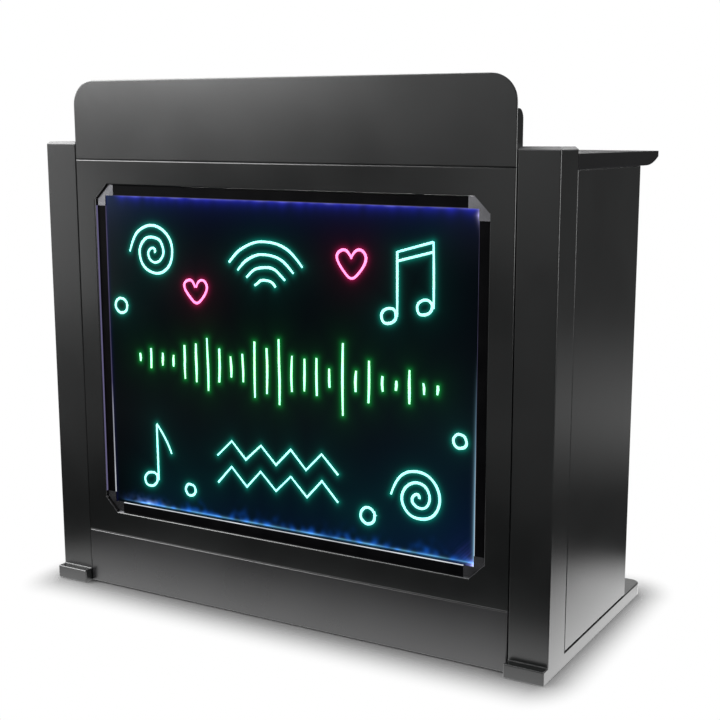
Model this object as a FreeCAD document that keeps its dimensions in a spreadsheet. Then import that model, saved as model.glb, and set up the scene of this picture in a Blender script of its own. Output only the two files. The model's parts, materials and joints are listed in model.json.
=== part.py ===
import FreeCAD, Part
import os
from types import SimpleNamespace

import Sketcher

# A knock-down dj booth of folded black sheet steel with an edge-lit writing board in its front.
# X runs to the right as the audience sees it, Y towards the dj and Z up.
# The origin is on the floor, under the middle of the booth. All sizes are in millimetres.

SIZES = (
    # The booth as a whole
    ("booth_width", 1160, "over the two side frames"),
    ("post_width", 80, "front post, seen from the front"),
    ("post_depth", 80, "front post, seen from the side"),
    ("post_rise", 30, "posts above the seam between front frame and header"),
    ("toe_length", 20, "runner in front of the post"),
    ("table_depth", 450, "tabletop behind the posts"),
    ("table_thickness", 28, "tabletop board"),
    ("table_drop", 6, "tabletop below the tops of the posts"),
    ("kick_height", 120, "top of the kick panel above the floor"),
    ("frame_height", 800, "front frame panel"),
    ("header_height", 160, "header panel above the front frame"),
    # Folded sheet
    ("steel_sheet", 1.5, "wall of every folded piece"),
    ("bend_radius", 2.5, "outside of a fold"),
    ("flange_depth", 25, "return flange of a panel"),
    ("panel_gap", 1.2, "front panels to posts, filled by the nut collars"),
    ("panel_proud", 1.5, "front panels ahead of the posts"),
    ("kick_floor_gap", 3, "kick panel above the floor"),
    # Side frames
    ("foot_pad_thickness", 2, "rubber pad under the runner"),
    ("foot_pad_radius", 9, "rubber pad under the runner"),
    ("foot_pad_inset", 32, "pad centre from the ends of the runner"),
    ("runner_height", 26, "runner without its pads"),
    ("runner_setback", 5, "runner end ahead of the tabletop's edge"),
    ("runner_end_radius", 20, "corners of the runner's end in plan"),
    ("weld_radius", 2, "weld between post and runner"),
    ("base_lip", 22, "lip under the runner"),
    ("cap_rise", 6, "plastic cap above its post"),
    ("cap_bevel", 5, "rim of the cap"),
    ("cap_plug", 10, "plug of the cap, which ends above the upper rivet nut"),
    ("cap_wall", 2.5, "walls of the cap"),
    ("cap_clearance", 0.3, "plug to the walls of the post"),
    # Side panels
    ("side_panel_length", 340, "side panel behind the post"),
    ("seat_strip_thickness", 2.5, "rubber strip under the side panel"),
    ("seat_strip_width", 14, "rubber strip under the side panel"),
    ("seat_strip_inset", 6, "strip behind the panel's outer face and ends"),
    # Front frame panel
    ("window_side_margin", 48.8, "panel's sides to the window"),
    ("window_end_margin", 50, "panel's top and bottom to the window"),
    ("window_chamfer", 30, "corner webs that hold the board back"),
    ("lip_return", 16, "fold behind the window's lips"),
    # Header panel
    ("header_radius", 50, "top corners of the header"),
    ("header_flange_drop", 10, "side flange below the corner radius"),
    ("header_flange_radius", 18, "rounded end of the side flange"),
    # Tabletop and the rails under it
    ("nose_length", 75, "sweep under the dj's edge"),
    ("nose_edge", 11, "thickness left at the dj's edge"),
    ("table_edge_radius", 1, "eased edges of the board"),
    ("table_gap", 1, "tabletop to posts"),
    ("cable_slot", 18, "tabletop to header flange"),
    ("table_rail_width", 40, "rail under the tabletop"),
    ("table_rail_height", 30, "rail under the tabletop"),
    ("table_rail_inset", 25, "rail from the ends of the side panels"),
    ("table_rail_end_gap", 1, "rail to the skins of the side panels"),
    # Writing board
    ("board_side_gap", 1, "board to the window's side lips"),
    ("board_top_gap", 0.6, "board to the window's top lip; it stands on the lower one"),
    ("board_recess", 6, "board behind the panel's front"),
    ("board_rail_width", 22, "face of the aluminium frame"),
    ("board_wall", 2, "walls of the aluminium frame"),
    ("rail_chamfer", 1.2, "inner edge of the aluminium frame's face"),
    ("light_sheet_thickness", 6, "clear acrylic"),
    ("backing_thickness", 4, "black foam board"),
    ("corner_leg", 43, "plastic corner along each side"),
    ("corner_radius", 14, "outer round of the plastic corner"),
    ("corner_proud", 0.5, "plastic corner ahead of the rails"),
    ("corner_pad_inset", 2, "rubber pad from the edges of the board"),
    ("corner_pad_margin", 8, "sides of the rubber pad, shorter than the web's"),
    ("tape_thickness", 0.8, "led tape"),
    ("tape_width", 5.6, "led tape"),
    ("tape_end_gap", 2, "led tape from the ends of its rail"),
    ("chip_length", 3.5, "led chip"),
    ("chip_width", 2.8, "led chip"),
    ("chip_margin", 6, "outer led chips from the ends of the tape"),
    ("chip_height", 1.2, "led chip"),
    ("light_gap", 0.6, "led chip to the acrylic's edge, and sheets to corners"),
    # Turn clips that hold the board in the window
    ("clip_length", 42, "turn clip"),
    ("clip_width", 14, "turn clip"),
    ("clip_thickness", 2, "turn clip"),
    ("clip_inset", 150, "outer turn clips from the window's sides"),
    ("clip_lift", 0.3, "turn clip above the back of the board"),
    ("clip_screw_radius", 2, "pivot screw"),
    ("clip_screw_head_radius", 4.5, "pivot screw"),
    ("clip_screw_head_height", 2.4, "pivot screw"),
    ("clip_screw_length", 9, "pivot screw under its head"),
    ("pivot_clearance", 0.06, "turn clip round its screw"),
    ("clip_float", 0.15, "turn clip to the fold and to its screw's head"),
    # Light controller on the back of the board
    ("case_width", 92, "controller case"),
    ("case_height", 46, "controller case"),
    ("case_depth", 24, "controller case"),
    ("case_wall", 2, "controller case"),
    ("case_radius", 4, "upright corners of the case"),
    ("case_side_inset", 30, "case from the board's side rail"),
    ("case_base_inset", 26, "case above the board's bottom rail"),
    ("circuit_thickness", 1.6, "circuit board"),
    ("circuit_clearance", 0.4, "circuit board to case"),
    ("circuit_level", 9, "circuit board above the backing sheet"),
    ("standoff_radius", 3, "posts that carry the circuit board"),
    ("button_radius", 5, "push button"),
    ("button_proud", 2.4, "push button out of the case"),
    ("button_travel", 1.2, "push button"),
    ("button_rim", 1, "rim that keeps the button in the case"),
    ("button_rim_thickness", 1.2, "rim that keeps the button in the case"),
    ("button_stem_radius", 1.8, "stem towards the switch"),
    ("button_clearance", 0.3, "push button in its hole"),
    ("button_spacing", 20, "between push buttons"),
    ("button_row_start", 24, "first button from the middle of the case"),
    ("button_float", 0.1, "rim to case, and stem to pressed switch"),
    ("button_edge", 1, "chamfered edge of the button"),
    ("switch_width", 6, "switch under a button"),
    ("switch_height", 3, "switch under a button"),
    ("socket_width", 9, "dc socket"),
    ("socket_height", 9, "dc socket off the circuit board"),
    ("socket_length", 13, "dc socket"),
    ("socket_barrel_radius", 3.9, "dc socket's round mouth"),
    ("socket_bore_radius", 2.75, "dc socket"),
    ("socket_pin_radius", 1, "dc socket's centre pin"),
    ("socket_floor", 2, "dc socket behind its bore"),
    ("socket_pin_setback", 3, "centre pin behind the mouth"),
    ("socket_clearance", 0.3, "dc socket in the case"),
    ("ear_length", 12, "ears of the case"),
    ("ear_width", 12, "ears of the case"),
    ("ear_thickness", 2.5, "ears of the case"),
    ("case_screw_radius", 1.75, "screw of the case"),
    ("case_screw_head_radius", 3.4, "screw of the case"),
    ("case_screw_head_height", 2, "screw of the case"),
    ("case_screw_length", 5.6, "screw of the case, under its head"),
    ("lead_width", 6, "flat lead to the led tape"),
    ("lead_thickness", 1, "flat lead to the led tape"),
    ("lead_clearance", 0.6, "lead in its notches"),
    ("lead_offset", 30, "lead from the middle of the case"),
    ("plug_height", 7, "plug of the lead on the circuit board"),
    # Fasteners
    ("bolt_radius", 3, "panel bolt"),
    ("bolt_head_radius", 5.25, "panel bolt, button head"),
    ("bolt_head_height", 3.3, "panel bolt, button head"),
    ("bolt_head_edge", 1, "straight side of the button head"),
    ("bolt_crown_radius", 3.4, "flat top of the button head"),
    ("bolt_clearance", 0.25, "bolts in their holes"),
    ("kick_bolt_drop", 60, "bolts of the kick panel below its seam"),
    ("header_bolt_rise", 12, "bolts of the header above its seam"),
    ("bolt_flange_inset", 14, "bolts behind the panel's front"),
    ("panel_bolt_length", 16, "panel bolt under its head"),
    ("nut_collar_radius", 8, "collar of the rivet nut"),
    ("nut_body_radius", 4.6, "rivet nut in the post"),
    ("nut_body_length", 12, "rivet nut in the post"),
    ("nut_bulge_radius", 6.2, "rivet nut where it is pulled tight"),
    ("nut_bulge_length", 4, "rivet nut where it is pulled tight"),
    ("seam_bolt_length", 10, "bolt through two flanges"),
    ("seam_bolt_inset", 108.8, "outer bolts of a seam from the panel's sides"),
    ("hex_nut_radius", 5.77, "nut, to its corners"),
    ("hex_nut_height", 5, "nut"),
    ("side_screw_length", 12, "side panel screw under its head"),
    ("side_screw_inset", 90, "side panel screws from the panel's ends"),
    ("table_screw_length", 24, "table screw under its head"),
    ("overrun", 5, "how far a cut reaches past the solid"),
)
LONG_TAPE_COUNT = 26
SHORT_TAPE_COUNT = 20
PANEL_BOLTS = 5
SEAM_BOLTS = 4
SIDE_SCREWS = 3
CLIPS_ACROSS = 3
CLIP_NAMES = ("left", "middle", "right")
BUTTONS = ("power", "mode", "dimmer")
HEXAGON_SHARES = ((1, 0), (0.5, 0.866), (-0.5, 0.866), (-1, 0), (-0.5, -0.866), (0.5, -0.866))
SAME_PLACE_SHARE = 1e-6
FULL_TURN = 360
HALF_TURN = FULL_TURN / 2
QUARTER_TURN = FULL_TURN / 4
ARC = "arc"


class Size:
    """A length that knows its number and the sheet expression behind it."""

    def __init__(self, value, text):
        self.value = float(value)
        self.text = text

    def joined(self, other, sign, value):
        return Size(value, f"({self.text} {sign} {other.text})")

    def __add__(self, other):
        other = as_size(other)
        return self.joined(other, "+", self.value + other.value)

    def __sub__(self, other):
        other = as_size(other)
        return self.joined(other, "-", self.value - other.value)

    def __mul__(self, other):
        other = as_size(other)
        return self.joined(other, "*", self.value * other.value)

    def __truediv__(self, other):
        other = as_size(other)
        return self.joined(other, "/", self.value / other.value)

    def __neg__(self):
        return self * -1

    __radd__ = __add__
    __rmul__ = __mul__


def as_size(number):
    return number if isinstance(number, Size) else Size(number, repr(number))


# Document and sheet of driving sizes
doc = FreeCAD.newDocument("dj_booth")
sheet = doc.addObject("Spreadsheet::Sheet", "Sizes")
for row, (alias, number, note) in enumerate(SIZES, 1):
    sheet.set(f"A{row}", alias)
    sheet.set(f"B{row}", str(number))
    sheet.setAlias(f"B{row}", alias)
    sheet.set(f"C{row}", note)
doc.recompute()
size = SimpleNamespace(**{alias: Size(sheet.get(alias), f"Sizes.{alias}") for alias, _, _ in SIZES})
pieces = []

# Places that several pieces share
half = size.booth_width / 2
inner = half - size.post_width
depth = size.toe_length + size.post_depth + size.table_depth
y_toe = -depth / 2
y_post = y_toe + size.toe_length
y_post_back = y_post + size.post_depth
y_table_back = depth / 2
y_runner_back = y_table_back - size.runner_setback
y_side_back = y_post_back + size.side_panel_length
y_front = y_post - size.panel_proud
y_flange_back = y_front + size.flange_depth
y_bolt = y_front + size.bolt_flange_inset
z_base = size.foot_pad_thickness
z_runner = z_base + size.runner_height
z_side_base = z_runner + size.seat_strip_thickness
z_frame = size.kick_height
z_frame_top = z_frame + size.frame_height
z_header_top = z_frame_top + size.header_height
post_top = z_frame_top + size.post_rise
z_table = post_top - size.table_drop
z_table_under = z_table - size.table_thickness
panel_half = inner - size.panel_gap

window_half = panel_half - size.window_side_margin
z_window = z_frame + size.window_end_margin
z_window_top = z_frame_top - size.window_end_margin
x_lip = window_half - size.window_chamfer
z_lip = z_window + size.window_chamfer
z_lip_top = z_window_top - size.window_chamfer
board_half = window_half - size.board_side_gap
z_board = z_window
z_board_top = z_window_top - size.board_top_gap
half_board_height = (z_board_top - z_board) / 2
z_board_middle = z_board + half_board_height
board_depth = size.board_wall * 2 + size.light_sheet_thickness + size.backing_thickness
y_board = y_front + size.board_recess
y_board_back = y_board + board_depth
y_light = y_board + size.board_wall
y_backing = y_light + size.light_sheet_thickness
y_backing_back = y_backing + size.backing_thickness
y_lip_back = y_board_back + size.clip_lift
sheet_inset = size.board_wall + size.tape_thickness + size.chip_height + size.light_gap
bolt_hole = size.bolt_radius + size.bolt_clearance

# Which way each plane's sketch looks along the axis square to it
PLANES = {"XY": 1, "XZ": -1, "YZ": 1}


def new_body(label):
    body = doc.addObject("PartDesign::Body", label)
    body.Label = label
    pieces.append(body)
    return body


def origin_feature(body, role):
    return next(f for f in body.Origin.OriginFeatures if f.Role == role)


def hold(sketch, kind, edge, end, place):
    """Fixes one coordinate of a point to its expression."""
    place = as_size(place)
    if place.value == 0:
        axis = -2 if kind == "DistanceX" else -1
        sketch.addConstraint(Sketcher.Constraint("PointOnObject", edge, end, axis))
        return
    index = sketch.addConstraint(Sketcher.Constraint(kind, -1, 1, edge, end, place.value))
    sketch.setExpression(f"Constraints[{index}]", place.text)


def tangent_arc(start, stop, heading):
    """An arc that leaves start along heading and ends at stop, with its heading there and its turn."""
    left = FreeCAD.Vector(-heading.y, heading.x, 0)
    chord = stop - start
    reach = chord.dot(chord) / (2 * left.dot(chord))
    middle = start + left * reach
    turn = 1 if reach > 0 else -1
    spoke = stop - middle
    leaving = FreeCAD.Vector(-spoke.y, spoke.x, 0).normalize() * turn
    far = middle + (heading - leaving).normalize() * abs(reach)
    return Part.Arc(start, far, stop), leaving, turn


def draw_outline(sketch, points):
    """A closed outline. A point marked ARC is reached by an arc that leaves the edge before it smoothly."""
    first = sketch.GeometryCount
    count = len(points)
    spots = [FreeCAD.Vector(as_size(p[0]).value, as_size(p[1]).value, 0) for p in points]
    arcs = [points[(i + 1) % count][2:] == (ARC,) for i in range(count)]
    ends = []
    heading = None
    for i, start in enumerate(spots):
        stop = spots[(i + 1) % count]
        turn = 1
        if arcs[i]:
            edge, heading, turn = tangent_arc(start, stop, heading)
        else:
            edge = Part.LineSegment(start, stop)
            heading = (stop - start).normalize()
        ends.append((1, 2) if turn > 0 else (2, 1))
        sketch.addGeometry(edge, False)
    for i in range(count):
        j = (i + 1) % count
        kind = "Tangent" if arcs[j] else "Coincident"
        sketch.addConstraint(Sketcher.Constraint(kind, first + i, ends[i][1], first + j, ends[j][0]))
    for i, point in enumerate(points):
        hold(sketch, "DistanceX", first + i, ends[i][0], point[0])
        hold(sketch, "DistanceY", first + i, ends[i][0], point[1])


def draw_circle(sketch, x, y, radius):
    edge = sketch.GeometryCount
    middle = FreeCAD.Vector(as_size(x).value, as_size(y).value, 0)
    sketch.addGeometry(Part.Circle(middle, FreeCAD.Vector(0, 0, 1), radius.value), False)
    index = sketch.addConstraint(Sketcher.Constraint("Radius", edge, radius.value))
    sketch.setExpression(f"Constraints[{index}]", radius.text)
    hold(sketch, "DistanceX", edge, 3, x)
    hold(sketch, "DistanceY", edge, 3, y)


def new_sketch(body, plane, level, outlines=(), circles=()):
    sketch = body.newObject("Sketcher::SketchObject", "Sketch")
    sketch.AttachmentSupport = [(origin_feature(body, plane + "_Plane"), "")]
    sketch.MapMode = "FlatFace"
    sketch.setExpression("AttachmentOffset.Base.z", (as_size(level) * PLANES[plane]).text)
    for points in outlines:
        draw_outline(sketch, points)
    for circle in circles:
        draw_circle(sketch, *circle)
    return sketch


def pad(body, plane, level, length, outlines=(), circles=(), way=1):
    """Adds material from a sketch at level, along the axis square to it or, with way -1, against it."""
    feature = body.newObject("PartDesign::Pad", "Pad")
    feature.Profile = new_sketch(body, plane, level, outlines, circles)
    feature.setExpression("Length", length.text)
    feature.Reversed = PLANES[plane] != way
    return feature


def cut(body, plane, level, length, outlines=(), circles=(), way=1):
    """Removes material in the same terms as pad, and makes sure that it met the solid."""
    doc.recompute()
    before = body.Shape.Volume
    feature = body.newObject("PartDesign::Pocket", "Pocket")
    feature.Profile = new_sketch(body, plane, level, outlines, circles)
    feature.setExpression("Length", length.text)
    feature.Reversed = PLANES[plane] == way
    doc.recompute()
    if not body.Shape.Volume < before:
        raise RuntimeError(f"a cut in {body.Label} removed nothing")
    return feature


def revolve(body, points):
    """Turns a half profile, radius against height, about the body's own Z axis."""
    sketch = new_sketch(body, "XZ", 0, [points])
    feature = body.newObject("PartDesign::Revolution", "Revolution")
    feature.Profile = sketch
    feature.ReferenceAxis = (sketch, ["V_Axis"])
    feature.Angle = FULL_TURN
    return feature


def lies_at(low, high, place):
    reach = size.booth_width.value * SAME_PLACE_SHARE
    return abs(low - place.value) < reach and abs(high - place.value) < reach


def edge_names(feature, test):
    doc.recompute()
    return [f"Edge{i}" for i, edge in enumerate(feature.Shape.Edges, 1) if test(edge.BoundBox)]


def round_edges(body, base, radius, names):
    feature = body.newObject("PartDesign::Fillet", "Fillet")
    feature.Base = (base, names)
    feature.setExpression("Radius", radius.text)
    return feature


def shell(body, base, wall, test):
    """Hollows a solid to a wall and opens the faces that test picks."""
    doc.recompute()
    names = [f"Face{i}" for i, face in enumerate(base.Shape.Faces, 1) if test(face.BoundBox)]
    feature = body.newObject("PartDesign::Thickness", "Thickness")
    feature.Base = (base, names)
    feature.setExpression("Value", wall.text)
    feature.Reversed = True
    feature.Join = "Arc"
    return feature


def repeat(body, original, *runs):
    """Repeats a feature along the body's own axes: each run is an axis, a total length and a count."""
    if len(runs) == 1:
        pattern = row_of(body, *runs[0])
        pattern.Originals = [original]
        body.Tip = pattern
        return pattern
    grid = body.newObject("PartDesign::MultiTransform", "Grid")
    grid.Originals = [original]
    grid.Transformations = [row_of(body, *run) for run in runs]
    body.Tip = grid
    return grid


def row_of(body, axis, length, count):
    pattern = body.newObject("PartDesign::LinearPattern", "Row")
    pattern.Direction = (origin_feature(body, axis + "_Axis"), [""])
    pattern.setExpression("Length", length.text)
    pattern.Occurrences = count
    return pattern


def place(piece, x, y, z, axis=(0, 0, 1), angle=0):
    """Turns a piece about an axis through its own origin and carries that origin to x, y, z."""
    spots = [as_size(value) for value in (x, y, z)]
    base = FreeCAD.Vector(*(spot.value for spot in spots))
    piece.Placement = FreeCAD.Placement(base, FreeCAD.Rotation(FreeCAD.Vector(*axis), angle))
    for letter, spot in zip("xyz", spots):
        piece.setExpression(f"Placement.Base.{letter}", spot.text)


def rectangle(x1, y1, x2, y2):
    return ((x1, y1), (x2, y1), (x2, y2), (x1, y2))


def rounded_rectangle(x1, y1, x2, y2, radius):
    return (
        (x1 + radius, y1, ARC),
        (x2 - radius, y1),
        (x2, y1 + radius, ARC),
        (x2, y2 - radius),
        (x2 - radius, y2, ARC),
        (x1 + radius, y2),
        (x1, y2 - radius, ARC),
        (x1, y1 + radius),
    )


def taken_off(edge, way, face, back, reach, *bend):
    """What a bevel or, with ARC, a round takes off an edge, as places across the edge and square to its face.

    Way and back are 1 or -1 and tell on which side of the edge and of the face the material lies.
    """
    outside = edge - size.overrun * way
    inside = edge + (reach + size.overrun) * way
    ahead = face - size.overrun * back
    return (
        (inside, face),
        (edge + reach * way, face),
        (edge, face + reach * back, *bend),
        (outside, face + reach * back),
        (outside, ahead),
        (inside, ahead),
    )


def row_places(first, last, count):
    return [first + (last - first) * i / (count - 1) for i in range(count)]


bolt_heights = row_places(z_frame - size.kick_bolt_drop, z_frame_top + size.header_bolt_rise, PANEL_BOLTS)
seam_reach = panel_half - size.seam_bolt_inset
seam_places = row_places(-seam_reach, seam_reach, SEAM_BOLTS)
side_screw_heights = row_places(
    z_side_base + size.side_screw_inset, z_table_under - size.side_screw_inset, SIDE_SCREWS
)
x_side_screw = half - size.flange_depth / 2
table_rail_rows = (
    y_post_back + size.table_rail_inset + size.table_rail_width / 2,
    y_side_back - size.table_rail_inset - size.table_rail_width / 2,
)
clip_reach = window_half - size.clip_inset
clip_columns = row_places(-clip_reach, clip_reach, CLIPS_ACROSS)
clip_rise = size.lip_return / 2
clip_rows = {"top": z_window_top + clip_rise, "bottom": z_window - clip_rise}


def side_frame(label, side):
    """Post and runner welded from sheet into one hollow L, open on top and underneath between two lips."""
    body = new_body(label)
    weld = size.weld_radius
    profile = (
        (y_toe, z_base),
        (y_runner_back, z_base),
        (y_runner_back, z_runner),
        (y_post_back + weld, z_runner),
        (y_post_back, z_runner + weld, ARC),
        (y_post_back, post_top),
        (y_post, post_top),
        (y_post, z_runner + weld),
        (y_post - weld, z_runner, ARC),
        (y_toe, z_runner),
    )
    block = pad(body, "YZ", inner * side, size.post_width, [profile], way=side)
    ends = edge_names(block, lambda b: lies_at(b.YMin, b.YMax, y_runner_back) and b.XLength < b.ZLength)
    block = round_edges(body, block, size.runner_end_radius, ends)
    block = shell(body, block, size.steel_sheet, is_frame_end)
    round_edges(body, block, size.bend_radius, edge_names(block, is_frame_fold))
    lip_front = y_toe + size.steel_sheet / 2
    lip_back = y_runner_back - size.runner_end_radius
    near = inner + size.steel_sheet / 2
    far = half - size.steel_sheet / 2
    lips = [
        rectangle(near * side, lip_front, (near + size.base_lip) * side, lip_back),
        rectangle((far - size.base_lip) * side, lip_front, far * side, lip_back),
    ]
    pad(body, "XY", z_base, size.steel_sheet, lips)
    nut_hole = size.nut_body_radius + size.bolt_clearance
    nut_holes = [(y_bolt, height, nut_hole) for height in bolt_heights]
    cut(body, "YZ", (inner - size.overrun) * side, size.overrun + size.steel_sheet, (), nut_holes, side)
    screw_holes = [(x_side_screw * side, height, bolt_hole) for height in side_screw_heights]
    cut(body, "XZ", y_post_back + size.overrun, size.overrun + size.steel_sheet, (), screw_holes, -1)


def is_frame_end(box):
    """Tells what lies on the open foot or the open top of the side frame."""
    return any(lies_at(box.ZMin, box.ZMax, z) for z in (z_base, post_top))


def is_frame_fold(box):
    """Tells the outside edges of the side frame, but for its open ends and the smooth start of its rear."""
    on_side = any(lies_at(abs(box.XMin), abs(box.XMax), x) for x in (inner, half))
    at_smooth = lies_at(box.YMin, box.YMax, y_runner_back - size.runner_end_radius)
    if on_side:
        return not is_frame_end(box) and not at_smooth
    across = box.XLength > box.YLength and box.XLength > box.ZLength
    at_runner_top = lies_at(box.ZMin, box.ZMax, z_runner)
    return across and at_runner_top and any(lies_at(box.YMin, box.YMax, y) for y in (y_toe, y_runner_back))


def post_cap(label, side):
    """Cap in the open top of a post: a plate with a bevelled rim over a hollow plug."""
    body = new_body(label)
    x_post = (inner + half) / 2 * side
    y_mid = (y_post + y_post_back) / 2
    wide = size.post_width / 2
    deep = size.post_depth / 2
    z_cap = post_top + size.cap_rise
    plate = rounded_rectangle(x_post - wide, y_mid - deep, x_post + wide, y_mid + deep, size.bend_radius)
    pad(body, "XY", post_top, size.cap_rise, [plate])
    for way in (1, -1):
        across = taken_off(x_post - wide * way, way, z_cap, -1, size.cap_bevel)
        along = taken_off(y_mid - deep * way, way, z_cap, -1, size.cap_bevel)
        cut(body, "XZ", y_mid - deep - size.overrun, size.post_depth + size.overrun * 2, [across])
        cut(body, "YZ", x_post - wide - size.overrun, size.post_width + size.overrun * 2, [along])
    inset = size.steel_sheet + size.cap_clearance
    plug, hollow = (
        rectangle(x_post - wide + edge, y_mid - deep + edge, x_post + wide - edge, y_mid + deep - edge)
        for edge in (inset, inset + size.cap_wall)
    )
    pad(body, "XY", post_top, size.cap_plug, [plug], way=-1)
    room = size.overrun + size.cap_plug + size.cap_rise - size.cap_wall
    cut(body, "XY", post_top - size.cap_plug - size.overrun, room, [hollow])


def tray(label, plane, front, outline_low, outline_high, way):
    """A folded tray: a face with a return flange on all four sides, open at the back."""
    body = new_body(label)
    (x1, z1), (x2, z2) = outline_low, outline_high
    block = pad(body, plane, front, size.flange_depth, [rectangle(x1, z1, x2, z2)], way=way)
    folded(body, block, plane, front, way)
    return body


def folded(body, block, plane, front, way):
    """Rounds the folds round a block's front face and hollows it from the back."""
    back = front + size.flange_depth * way
    span = {"XZ": lambda b: (b.YMin, b.YMax), "YZ": lambda b: (b.XMin, b.XMax)}[plane]
    folds = edge_names(block, lambda b: lies_at(*span(b), front))
    block = round_edges(body, block, size.bend_radius, folds)
    shell(body, block, size.steel_sheet, lambda b: lies_at(*span(b), back))


def drill_side_flanges(body, heights):
    """Bolt holes through both side flanges of a front panel."""
    holes = [(y_bolt, height, bolt_hole) for height in heights]
    for side in (-1, 1):
        start = (panel_half + size.overrun) * side
        cut(body, "YZ", start, size.overrun + size.steel_sheet, (), holes, -side)


def drill_seam(body, level, way):
    """Bolt holes through the flange at a seam between two front panels."""
    holes = [(x, y_bolt, bolt_hole) for x in seam_places]
    cut(body, "XY", level - size.overrun * way, size.overrun + size.steel_sheet, (), holes, way)


def side_panel(label, side):
    low = (y_post_back, z_side_base)
    high = (y_side_back, z_table_under)
    body = tray(label, "YZ", half * side, low, high, -side)
    screw_holes = [(x_side_screw * side, height, bolt_hole) for height in side_screw_heights]
    cut(body, "XZ", y_post_back - size.overrun, size.overrun + size.steel_sheet, (), screw_holes)
    table_holes = [(x_side_screw * side, y, bolt_hole) for y in table_rail_rows]
    cut(body, "XY", z_table_under + size.overrun, size.overrun + size.steel_sheet, (), table_holes, -1)


def seat_strip(label, side):
    """Rubber strip that keeps the side panel off the runner."""
    body = new_body(label)
    outer = half - size.seat_strip_inset
    strip = rectangle(
        outer * side,
        y_post_back + size.seat_strip_inset,
        (outer - size.seat_strip_width) * side,
        y_side_back - size.seat_strip_inset,
    )
    pad(body, "XY", z_runner, size.seat_strip_thickness, [strip])


def kick_panel():
    low = (-panel_half, size.kick_floor_gap)
    body = tray("kick_panel", "XZ", y_front, low, (panel_half, z_frame), 1)
    drill_side_flanges(body, bolt_heights[:1])
    drill_seam(body, z_frame, -1)


def chamfered_window(x, z1, z2, chamfer):
    return (
        (-x + chamfer, z1),
        (x - chamfer, z1),
        (x, z1 + chamfer),
        (x, z2 - chamfer),
        (x - chamfer, z2),
        (-x + chamfer, z2),
        (-x, z2 - chamfer),
        (-x, z1 + chamfer),
    )


def window_edges(width):
    """Strips of the given width along the straight edges of the window, outside it."""
    return [
        rectangle(-x_lip, z_window - width, x_lip, z_window),
        rectangle(-x_lip, z_window_top, x_lip, z_window_top + width),
        rectangle(-window_half - width, z_lip, -window_half, z_lip_top),
        rectangle(window_half, z_lip, window_half + width, z_lip_top),
    ]


def lip_fold(edge, way):
    """What a fold takes off the front edge of one of the window's lips."""
    return taken_off(edge, way, y_front, 1, size.bend_radius, ARC)


def front_frame_panel():
    """Tray with a window whose four edges fold back into lips; plain webs cross its corners."""
    low = (-panel_half, z_frame)
    body = tray("front_frame_panel", "XZ", y_front, low, (panel_half, z_frame_top), 1)
    window = chamfered_window(window_half, z_window, z_window_top, size.window_chamfer)
    cut(body, "XZ", y_front - size.overrun, size.flange_depth, [window])
    pad(body, "XZ", y_front, y_lip_back - y_front, window_edges(size.steel_sheet))
    pad(body, "XZ", y_lip_back, size.steel_sheet, window_edges(size.lip_return), way=-1)
    for side in (-1, 1):
        cut(body, "XY", z_lip, z_lip_top - z_lip, [lip_fold(window_half * side, side)])
    for edge, way in ((z_window, -1), (z_window_top, 1)):
        fold = [(point[1], point[0], *point[2:]) for point in lip_fold(edge, way)]
        cut(body, "YZ", -x_lip, x_lip * 2, [fold])
    drill_side_flanges(body, bolt_heights[1:-1])
    drill_seam(body, z_frame, 1)
    drill_seam(body, z_frame_top, -1)
    hole = size.clip_screw_radius + size.pivot_clearance
    holes = [(x, z, hole) for z in clip_rows.values() for x in clip_columns]
    cut(body, "XZ", y_lip_back + size.overrun, size.overrun + size.steel_sheet, (), holes, -1)


def header_panel():
    """Sheet with round top corners; its side flanges stop below them with a rounded end."""
    body = new_body("header_panel")
    radius = size.header_radius
    face = (
        (-panel_half, z_frame_top),
        (panel_half, z_frame_top),
        (panel_half, z_header_top - radius),
        (panel_half - radius, z_header_top, ARC),
        (-panel_half + radius, z_header_top),
        (-panel_half, z_header_top - radius, ARC),
    )
    block = pad(body, "XZ", y_front, size.flange_depth, [face])
    folded(body, block, "XZ", y_front, 1)
    flange_top = z_header_top - radius - size.header_flange_drop
    past_top = z_header_top + size.overrun
    sheet_back = y_front + size.steel_sheet
    past_back = y_flange_back + size.overrun
    relief = (
        (sheet_back, flange_top),
        (y_flange_back - size.header_flange_radius, flange_top),
        (y_flange_back, flange_top - size.header_flange_radius, ARC),
        (past_back, flange_top - size.header_flange_radius),
        (past_back, past_top),
        (sheet_back, past_top),
    )
    for side in (-1, 1):
        cut(body, "YZ", (panel_half - radius) * side, radius + size.overrun, [relief], (), side)
    drill_side_flanges(body, bolt_heights[-1:])
    drill_seam(body, z_frame_top, 1)


def tabletop():
    """Board notched round the posts, with its underside swept up to a thin edge on the dj's side."""
    body = new_body("tabletop")
    y_tongue = y_flange_back + size.cable_slot
    profile = (
        (y_tongue, z_table_under),
        (y_table_back - size.nose_length, z_table_under),
        (y_table_back, z_table - size.nose_edge, ARC),
        (y_table_back, z_table),
        (y_tongue, z_table),
    )
    block = pad(body, "YZ", -half, size.booth_width, [profile])
    round_edges(body, block, size.table_edge_radius, edge_names(block, is_table_rim))
    tongue = inner - size.table_gap
    shoulder = y_post_back + size.table_gap
    notches = [
        rectangle(tongue * side, y_tongue - size.overrun, (half + size.overrun) * side, shoulder)
        for side in (-1, 1)
    ]
    cut(body, "XY", z_table + size.overrun, size.table_thickness + size.overrun * 2, notches, (), -1)
    holes = [(x_side_screw * side, y, bolt_hole) for side in (-1, 1) for y in table_rail_rows]
    grip = size.table_screw_length + size.bolt_clearance
    cut(body, "XY", z_table_under - size.steel_sheet * 2, grip, (), holes)


def is_table_rim(box):
    """Tells the top edges of the tabletop at its two ends and on the dj's side."""
    at_end = any(lies_at(box.XMin, box.XMax, x) for x in (-half, half))
    return lies_at(box.ZMin, box.ZMax, z_table) and (at_end or lies_at(box.YMin, box.YMax, y_table_back))


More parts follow.
